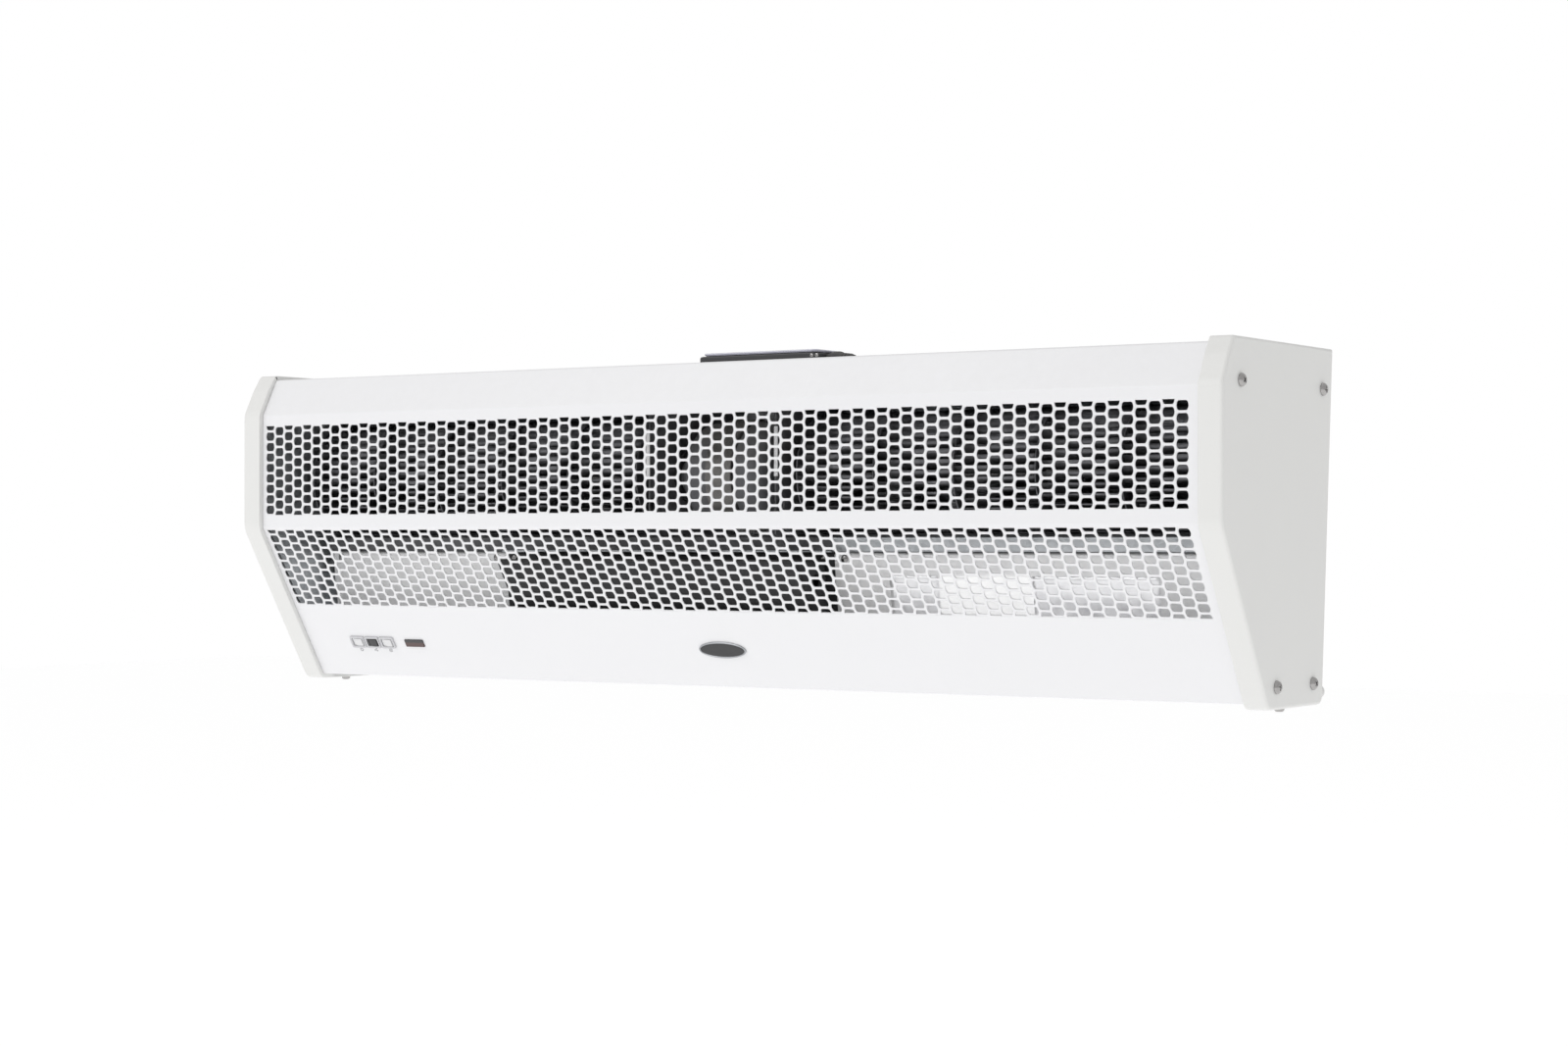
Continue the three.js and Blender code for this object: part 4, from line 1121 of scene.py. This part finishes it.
switch_plastic = coated("pale_switch_plastic", (0.62, 0.62, 0.64), 0.3, 800.0, 0.12, 0.05, 0.1)
key_plastic = coated("pale_key_plastic", (0.76, 0.76, 0.77), 0.28, 800.0, 0.12, 0.05, 0.1)
black_plastic = coated("black_satin_plastic", (0.022, 0.022, 0.024), 0.36, 650.0, 0.25, 0.15, 0.25)
fixed_black = ("casing", "black_plastic", black_plastic)
BEZEL = (15.4, 11)
BODY = (13.2, 9)
WELL = (12, 7.4)
ROCKER_TILT = radians(8)
for number, (x, _) in enumerate(switch_places, 1):
    bezel_rows = [(*BODY, 1, -12), (*BODY, 1, 0.3), (*BEZEL, 1.6, 0.3), (*BEZEL, 1.6, 1.1),
                  (14.9, 10.5, 1.4, 1.6),
                  (12.9, 8.3, 1.1, 1.6), (*WELL, 0.9, 1.2), (*WELL, 0.9, -8.5)]
    lofted(f"switch_frame_{number}", [slope_loop(x, CONTROL_S, *row) for row in bezel_rows], "casing",
           "switch_grey", switch_plastic, (f"switch_bezel_{number}",))
    key_section = [(5.4, 1.9), (5.1, 2.15), (2.6, 2.25), (0, 2.6), (-2.6, 2.25), (-5.1, 2.15), (-5.4, 1.9),
                   (-5.4, -1.6), (-2, -4.6), (2, -4.6), (5.4, -1.6)]
    loops = []
    for across, shrink in ((-3.4, 0.3), (-3.1, 0), (3.1, 0), (3.4, 0.3)):
        row = []
        for u, v in key_section:
            u, v = u - shrink * (1 if u > 0 else -1 if u < 0 else 0), v - shrink
            turned_u = u * cos(ROCKER_TILT) - v * sin(ROCKER_TILT)
            turned_v = u * sin(ROCKER_TILT) + v * cos(ROCKER_TILT)
            row.append(on_slope(x + turned_u, CONTROL_S + across, turned_v - 1))
        loops.append(row)
    middle = number == 2
    lofted(f"switch_key_{number}", loops, f"rocker_{number}", "black_plastic" if middle else "switch_grey",
           black_plastic if middle else key_plastic, (f"switch_rocker_{number}",), smooth=25)


def arc_band(x, s, radius, width, start, end, steps=14):
    """A flat ring segment as an outline."""
    angles = [start + (end - start) * i / steps for i in range(steps + 1)]
    outer = [(x + (radius + width / 2) * sin(a), s - (radius + width / 2) * cos(a)) for a in angles]
    inner = [(x + (radius - width / 2) * sin(a), s - (radius - width / 2) * cos(a)) for a in angles[::-1]]
    return outer + inner


def wave(x, s, height, width, swing):
    """A thin upright wave."""
    steps = [i / 10 for i in range(11)]
    left = [(x - width / 2 + swing * sin(2 * pi * t), s - height / 2 + height * t) for t in steps]
    right = [(x + width / 2 + swing * sin(2 * pi * t), s - height / 2 + height * t) for t in steps[::-1]]
    return left + right


print_ink = coated("grey_print", (0.24, 0.24, 0.25), 0.5, 900.0, 0.05, 0.05, 0.05)
SYMBOL_DROP = 7.9
SYMBOL_RADIUS = 1.45
symbol_s = CONTROL_S + SYMBOL_DROP
fan_turns = [2 * pi * i / 3 for i in range(3)]
symbols = {
    "power": [arc_band(switch_places[0][0], symbol_s, SYMBOL_RADIUS, 0.5, 0.6, 2 * pi - 0.6),
              square(switch_places[0][0], symbol_s - 1.2, 0.5, 1.9)],
    "fan": [arc_band(switch_places[1][0] + 0.9 * sin(t), symbol_s - 0.9 * cos(t), 0.75, 0.6, t - 0.4,
                     t + 2.6)
            for t in fan_turns],
    "heat": [wave(switch_places[2][0] + shift, symbol_s, 3.2, 0.5, 0.3) for shift in (-1.3, 0, 1.3)],
}
for symbol, outlines in symbols.items():
    for part, outline in enumerate(outlines, 1):
        loops = [[on_slope(u, w, out) for u, w in outline] for out in (0.02, 0.09)]
        count = len(outline)
        faces = ring_faces(count, 0, count)
        faces += flat_faces([outline]) + [tuple(count + i for i in t) for t in flat_faces([outline])]
        piece(f"print_{symbol}_{part}", loops[0] + loops[1], faces, "casing", "black_plastic", print_ink,
              smooth=0)

# ------------------------------------------------------------------ receiver window and its board
# A snap-in lens of smoked plastic, almost black at the top and brown where the light comes through
# at its lower edge, with the receiver's small circuit board behind it.

window_material, window_tree, window_shader = new_finish(
    "smoked_lens", 0.0, Roughness=0.12, Specular_IOR_Level=0.5, Coat_Weight=0.4)
window_place = window_tree.nodes.new("ShaderNodeTexCoord").outputs["Generated"]
window_axes = axes_of(window_tree, window_place)
window_haze = add_noise(window_tree, window_place, 3.0, 2.0)
window_rise = add_math(window_tree, "ADD", window_axes["Z"],
                       add_math(window_tree, "MULTIPLY", window_haze, 0.3))
window_fade = add_math(window_tree, "GREATER_THAN", window_rise, 0.66)
window_tree.links.new(
    add_blend(window_tree, window_fade, (0.085, 0.045, 0.042, 1), (0.035, 0.033, 0.036, 1)),
    window_shader.inputs["Base Color"])
LENS = (20, 7)
lens_rows = [(17, 4.4, 0.6, -3), (17, 4.4, 0.6, 0.3), (*LENS, 0.8, 0.3), (*LENS, 0.8, 0.8),
             (19.4, 6.4, 0.6, 1.15),
             (17, 4.2, 0.5, 1.25)]
lofted("receiver_lens", [slope_loop(WINDOW_X, CONTROL_S, *row) for row in lens_rows], "casing",
       "window_plastic", window_material, ("receiver_window",))

board_green = coated("green_solder_mask", (0.02, 0.12, 0.06), 0.3, 1200.0, 0.1, 0.2, 0.4)


def slope_slab(name, x, s, width, height, low, high, slot, material, stands_for=(), corner=0.8, edge=0.25):
    """A flat block with rounded corners and edges, parallel to the slanted face."""
    rows = [(width - 2 * edge, height - 2 * edge, corner, low), (width, height, corner, low + edge),
            (width, height, corner, high - edge), (width - 2 * edge, height - 2 * edge, corner, high)]
    return lofted(name, [slope_loop(x, s, *row) for row in rows], "casing", slot, material, stands_for)


slope_slab("receiver_circuit", WINDOW_X, CONTROL_S, 30, 14, -7, -5.4, "board", board_green,
           ("receiver_board",))
slope_slab("receiver_sensor", WINDOW_X + 3, CONTROL_S, 7, 6, -5.35, -3.4, "black_plastic", black_plastic)

# ------------------------------------------------------------------ blank badge
# A domed oval of brushed metal with a dark recessed field, stuck to the middle of the lower band.
# It is left blank.

badge_metal = speckled("brushed_badge_metal", 0.9, 1.0, 3.0, (0.3, 0.31, 0.33), (0.52, 0.53, 0.55), 0.24,
                       0.2,
                       stretch=(60, 2500, 2500))
BADGE_SHIFT = 1
BADGE_RADII = (22, 7.5)


def badge_loop(shrink, out):
    return [on_slope((BADGE_RADII[0] - shrink) * cos(2 * pi * i / 64),
                     CONTROL_S - BADGE_SHIFT + (BADGE_RADII[1] - shrink) * sin(2 * pi * i / 64),
                     out) for i in range(64)]


badge_rows = [(0.2, 0.05), (0, 0.3), (0, 0.8), (0.3, 1.15), (1.1, 1.2), (1.35, 0.95), (1.4, 0.8)]
lofted("blank_badge_rim", [badge_loop(*row) for row in badge_rows], "casing", "badge_metal", badge_metal,
       ("blank_badge",))
inlay_rows = [(1.45, 0.82), (1.45, 0.9), (3, 1.0), (5, 1.06)]
lofted("blank_badge_field", [badge_loop(*row) for row in inlay_rows], *fixed_black)

# ------------------------------------------------------------------ mains connection on the top
# A low black terminal cover with a pale glossy lid, two bright screws that hold its clamp, and a
# ribbed cable clamp at its right end. The cream terminal block sits under it, inside the casing.

cover_low, cover_high = case_box("terminal_cover")


def level_loop(x0, x1, y0, y1, corner, z):
    line = filleted(rectangle((x0, y0), (x1, y1)), corner, CORNER_STEPS)
    return [in_case(x, y, z) for x, y in line]


def level_block(name, x, y, z, body, slot, material, stands_for=(), corner=2.0, edge=0.6):
    """A moulded block between three pairs of limits, with rounded corners and edges."""
    rows = [(edge, z[0]), (0, z[0] + edge), (0, z[1] - edge), (edge * 0.3, z[1] - edge * 0.3), (edge, z[1])]
    loops = [level_loop(x[0] + inward, x[1] - inward, y[0] + inward, y[1] - inward, corner, height)
             for inward, height in rows]
    return lofted(name, loops, body, slot, material, stands_for)


level_block("terminal_cover_shell", *zip(cover_low, cover_high), *fixed_black, ("terminal_cover",), 4, 1.4)
lid_plastic = coated("pale_glossy_lid", (0.56, 0.56, 0.66), 0.14, 600.0, 0.08, 0.05, 0.15, Coat_Weight=0.5)
level_block("terminal_lid_plate", *zip(*case_box("terminal_lid")), "casing", "pale_plastic", lid_plastic,
            ("terminal_lid",), 4, 1.1)
CLAMP_SCREW_Z = 261.6
for clip, x in enumerate((cover_high[0] - 3.4, cover_high[0] + 1.2), 1):
    turned(f"clamp_screw_{clip}", [(0, 0), (0, 1.2), (0.3, 1.5), (1, 1.3), (1.2, 0.7), (0.8, 0.5),
                                   (0.8, 0)],
           in_case(x, cover_low[1], CLAMP_SCREW_Z), (0, -1, 0), *fixed_steel, sides=20)
gland_low, gland_high = case_box("cable_gland")
gland_middle = case_middle("cable_gland")
GLAND_FLAT = 0.48
gland_length = gland_high[0] - gland_low[0]
gland_profile = [(0, 0), (0, 8), (3, 8), (3.6, 9.6), (5, 10.5), (8.4, 10.5), (9.6, 9.4), (12, 7.2)]
for rib in range(3):
    base = 12.4 + rib * 2.4
    thick = 6.9 - rib * 0.6
    gland_profile += [(base, thick), (base + 0.4, thick + 0.7), (base + 1.2, thick + 0.7),
                      (base + 1.6, thick - 0.2)]
gland_profile += [(gland_length - 0.6, 4.6), (gland_length, 4.2), (gland_length, 3.2),
                  (gland_length - 1.5, 3), (gland_length - 1.5, 0)]
turned("cable_clamp", gland_profile, in_case(gland_low[0], *gland_middle[1:]), (1, 0, 0), *fixed_rubber,
       ("cable_gland",), sides=40, flat=GLAND_FLAT)

cream = coated("cream_thermoset", (0.65, 0.63, 0.57), 0.45, 700.0, 0.2, 0.1, 0.3)
fixed_cream = ("casing", "cream_plastic", cream)
block_low, block_high = case_box("terminal_block")
level_block("terminal_block_base", (block_low[0], block_high[0]), (block_low[1], block_high[1]),
            (block_low[2], block_low[2] + 12), *fixed_cream, ("terminal_block",), 1.5, 0.5)
WAY_COUNT = 5
WAY_PITCH = 15.6
WAY_WIDTH = 12
for way in range(WAY_COUNT):
    x = block_low[0] + 2 + way * WAY_PITCH
    level_block(f"terminal_way_{way + 1}", (x, x + WAY_WIDTH), (block_low[1] + 3, block_high[1] - 3),
                (block_low[2] + 12.05, block_high[2]), *fixed_cream, (), 1, 0.4)
    turned(f"terminal_screw_{way + 1}", [(0, 0), (0, 3), (0.5, 3), (0.8, 2.7), (0.8, 0)],
           in_case(x + WAY_WIDTH / 2, (block_low[1] + block_high[1]) / 2, block_high[2] + 0.02), (0, 0, 1),
           *fixed_steel, sides=24)

# ------------------------------------------------------------------ heater packs, rails and thermostat
# Each pack is three extruded aluminium bars that hold ceramic heating stones, with folded fin strips
# brazed between them. Two zinc-coated rails carry both packs; a disc thermostat sits in the middle.

heater_metal = zinc_coated("brazed_aluminium", (0.62, 0.62, 0.61), (0.44, 0.44, 0.43), 240.0, 0.38)
fixed_heater = ("casing", "heater_aluminium", heater_metal)
FIN_PITCH = 5.0
FIN_SHEET = 0.3
BAR_HALF = 4.0
for side in ("left", "right"):
    pack_low, pack_high = case_box(f"heater_pack_{side}")
    depth = pack_high[1] - pack_low[1]
    bars = [pack_low[1] + depth * share for share in (0.2, 0.5, 0.8)]
    for number, y in enumerate(bars, 1):
        level_block(f"heater_bar_{side}_{number}", (pack_low[0] + 0.5, pack_high[0] - 0.5),
                    (y - BAR_HALF, y + BAR_HALF),
                    (pack_low[2] + 3, pack_high[2] - 3), *fixed_heater,
                    (f"heater_pack_{side}",), 1, 0.5)
    gaps = [(bars[0] + BAR_HALF, bars[1] - BAR_HALF), (bars[1] + BAR_HALF, bars[2] - BAR_HALF),
            (pack_low[1] + 0.6, bars[0] - BAR_HALF), (bars[2] + BAR_HALF, pack_high[1] - 0.6)]
    for number, (near, far) in enumerate(gaps, 1):
        folds = int((pack_high[0] - pack_low[0] - 6) / FIN_PITCH)
        zigzag = [(pack_low[0] + 3 + FIN_PITCH * i,
                   near + 0.2 if i % 2 else far - 0.2) for i in range(folds + 1)]
        vertices = [in_case(x, y, z) for x, y in zigzag for z in (pack_low[2] + 1, pack_high[2] - 1)]
        faces = [(2 * i, 2 * i + 1, 2 * i + 3, 2 * i + 2) for i in range(folds)]
        strip = piece(f"heater_fins_{side}_{number}", vertices, faces, *fixed_heater,
                      smooth=0)
        thicken(strip, FIN_SHEET, smooth_faces=False)

for side, fold in (("front", 1), ("rear", -1)):
    rail_low, rail_high = case_box(f"heater_rail_{side}")
    y = rail_low[1] if fold > 0 else rail_high[1]
    rail_path = [(y, rail_high[2]), (y, rail_low[2]), (y + fold * 5, rail_low[2])]
    if fold < 0:
        rail_path.reverse()
    folded_sheet(f"heater_rail_sheet_{side}", rail_path, (rail_low[0], rail_high[0]), 1.5, *fixed_zinc,
                 (f"heater_rail_{side}",), radius=1.5)

thermostat_low, thermostat_high = case_box("overheat_thermostat")
thermostat_place = case_middle("overheat_thermostat")[:2]
turned("thermostat_body", [(0, 0), (0, 8.6), (0.5, 9), (4.6, 9), (5, 8.6), (5, 6.2), (8.6, 6.2), (9, 5.8),
                           (9, 0)],
       in_case(*thermostat_place, thermostat_low[2]), (0, 0, 1), *fixed_black,
       ("overheat_thermostat",), sides=36)
for tab, sign in SIDES:
    level_block(f"thermostat_tab_{tab}", (thermostat_place[0] + sign * 3 - 1.6,
                                          thermostat_place[0] + sign * 3 + 1.6),
                (thermostat_place[1] - 0.4, thermostat_place[1] + 0.4),
                (thermostat_high[2] - 0.2, thermostat_high[2] + 6),
                *fixed_steel, (), 0.2, 0.1)

# ------------------------------------------------------------------ outlet vanes and their link
# Two long aluminium aerofoils, powder coated white, turn on steel pins in the end plates. A steel
# link joins lugs on their upper edges, so that both turn together.

VANE_HALF = 17
BLADE_END = 8
VANE_SECTION = [(0.5, 17), (0, 17.1), (-0.5, 17), (-1.9, 9), (-2.8, 4.5), (-3.1, 0), (-2.8, -4.5),
                (-1.9, -9), (-0.5, -17),
                (0, -17.1), (0.5, -17), (1.9, -9), (2.8, -4.5), (3.1, 0), (2.8, 4.5), (1.9, 9)]
NOTCH_HALF = 5
NOTCH_FLOOR = 3.2
link_low, link_high = case_box("vane_link")
LINK_X = link_low[0] + 1.8
LINK_Z = (link_low[2] + link_high[2]) / 2
for vane, (axis_y, _) in vane_axes.items():
    vane_low, vane_high = case_box(f"outlet_vane_{vane}")
    axis_z = vane_low[2] + VANE_HALF
    ends = (vane_low[0] + BLADE_END, LINK_X - NOTCH_HALF, LINK_X + NOTCH_HALF, vane_high[0] - BLADE_END)
    for part, (x0, x1, top) in enumerate(((ends[0], ends[1], 18), (ends[1], ends[2], NOTCH_FLOOR),
                                          (ends[2], ends[3], 18)), 1):
        section = [(u, min(v, top)) for u, v in VANE_SECTION]
        loops = [[in_case(x, axis_y + u * scale, axis_z + v * scale) for u, v in section]
                 for x, scale in ((x0, 0.94), (x0 + 0.4, 1), (x1 - 0.4, 1), (x1, 0.94))]
        stands = (f"outlet_vane_{vane}",) if part == 1 else ()
        lofted(f"outlet_vane_{vane}_{part}", loops, f"vane_{vane}", "powder_coat", powder_coat, stands,
               smooth=50)
    for end, sign, x in (("left", 1, vane_low[0]), ("right", -1, vane_high[0])):
        turned(f"vane_pin_{vane}_{end}", [(0, 0), (0, 1.6), (0.4, 1.95), (12, 1.95), (12, 0)],
               in_case(x, axis_y, axis_z), (sign, 0, 0), f"vane_{vane}", "bright_steel", bright_material,
               sides=20)
    lug = filleted(rectangle((axis_y - 3, axis_z + 1), (axis_y + 3, LINK_Z + 3.4)), 2.2)
    punched_plate(f"vane_lug_{vane}", lug, [circle((axis_y, LINK_Z), 1.75, 16)],
                  upright_at(LINK_X + 0.75), 1.5, f"vane_{vane}", "bright_steel", bright_material)
    turned(f"link_pin_{vane}", [(0, 0), (0, 2.4), (0.5, 2.6), (0.8, 2.4), (0.8, 1.4), (4.2, 1.4),
                                (4.4, 1.1), (4.4, 0)],
           in_case(link_low[0] - 0.8, axis_y, LINK_Z), (1, 0, 0), *link_steel, sides=20)
link_outline = filleted(rectangle(link_low[1:], link_high[1:]), 2.3)
punched_plate("vane_link_bar", link_outline, [circle(((link_low[1] + link_high[1]) / 2, LINK_Z), 1.2, 12)],
              upright_at(link_low[0] + 0.75), 1.5, *link_steel, ("vane_link",))

# ------------------------------------------------------------------ control box and its parts
# A folded black box in front of the middle duct wall holds the circuit board with its relays, and
# the motor's run capacitor.

box_low, box_high = case_box("control_box")
BOX_SHEET = 1.5
box_path = [(73, box_high[2]), (box_low[1], box_high[2]), (75.5, box_low[2]), (box_high[1], box_low[2])]
folded_sheet("control_box_sheet", box_path, (box_low[0], box_high[0]), BOX_SHEET, "casing", "black_sheet",
             black_sheet, ("control_box",), radius=2)
cheek = offset_path(box_path, BOX_SHEET + 0.05)
for side, x in (("left", box_low[0] + BOX_SHEET), ("right", box_high[0] - BOX_SHEET)):
    punched_plate(f"control_box_cheek_{side}", cheek, [circle((62, 88), 5, 16)],
                  upright_at(x), BOX_SHEET, "casing", "black_sheet", black_sheet)

board_low, board_high = case_box("control_board")
BOARD_SHEET = 1.6
board_rise = board_high[2] - board_low[2]
board_lean = (board_high[1] - board_low[1] - BOARD_SHEET) / board_rise
board_outline = filleted(rectangle(board_low[::2], board_high[::2]), 2)
board_holes = [circle((x, z), 1.6, 12) for x in (board_low[0] + 4,
                                                 board_high[0] - 4) for z in (board_low[2] + 4,
                                                     board_high[2] - 4)]


def board_y(z):
    return board_low[1] + BOARD_SHEET / 2 + (board_high[2] - z) * board_lean


punched_plate("control_circuit", board_outline, board_holes, lambda u, v: in_case(u, board_y(v), v),
              BOARD_SHEET,
              "casing", "board", board_green, ("control_board",))
RELAY_X = (-186, -164, -142)
for number, x in enumerate(RELAY_X, 1):
    level_block(f"relay_{number}", (x, x + 16), (board_y(74) - 16, board_y(74) - 1.6), (64, 84),
                *fixed_black, (), 1, 0.5)
level_block("small_transformer", (-112, -88), (board_y(72) - 15, board_y(72) - 1.6), (62, 84), *fixed_cream,
            (), 1.5, 0.8)

can_low, can_high = case_box("motor_capacitor")
can_length = can_high[0] - can_low[0]
can_radius = (can_high[2] - can_low[2]) / 2
turned("capacitor_can", [(0, 0), (0, can_radius - 1.5), (0.6, can_radius - 0.3), (2, can_radius - 0.1),
                         (5, can_radius - 0.1),
                         (5.6, can_radius - 0.9), (6.8, can_radius - 0.9), (7.4, can_radius - 0.1),
                         (can_length - 1.5, can_radius - 0.1), (can_length - 0.4, can_radius - 0.8),
                         (can_length, can_radius - 2),
                         (can_length - 0.8, can_radius - 3), (can_length - 0.8, 0)],
       in_case(can_low[0], *case_middle("motor_capacitor")[1:]), (1, 0, 0), *fixed_cream,
       ("motor_capacitor",), sides=40)
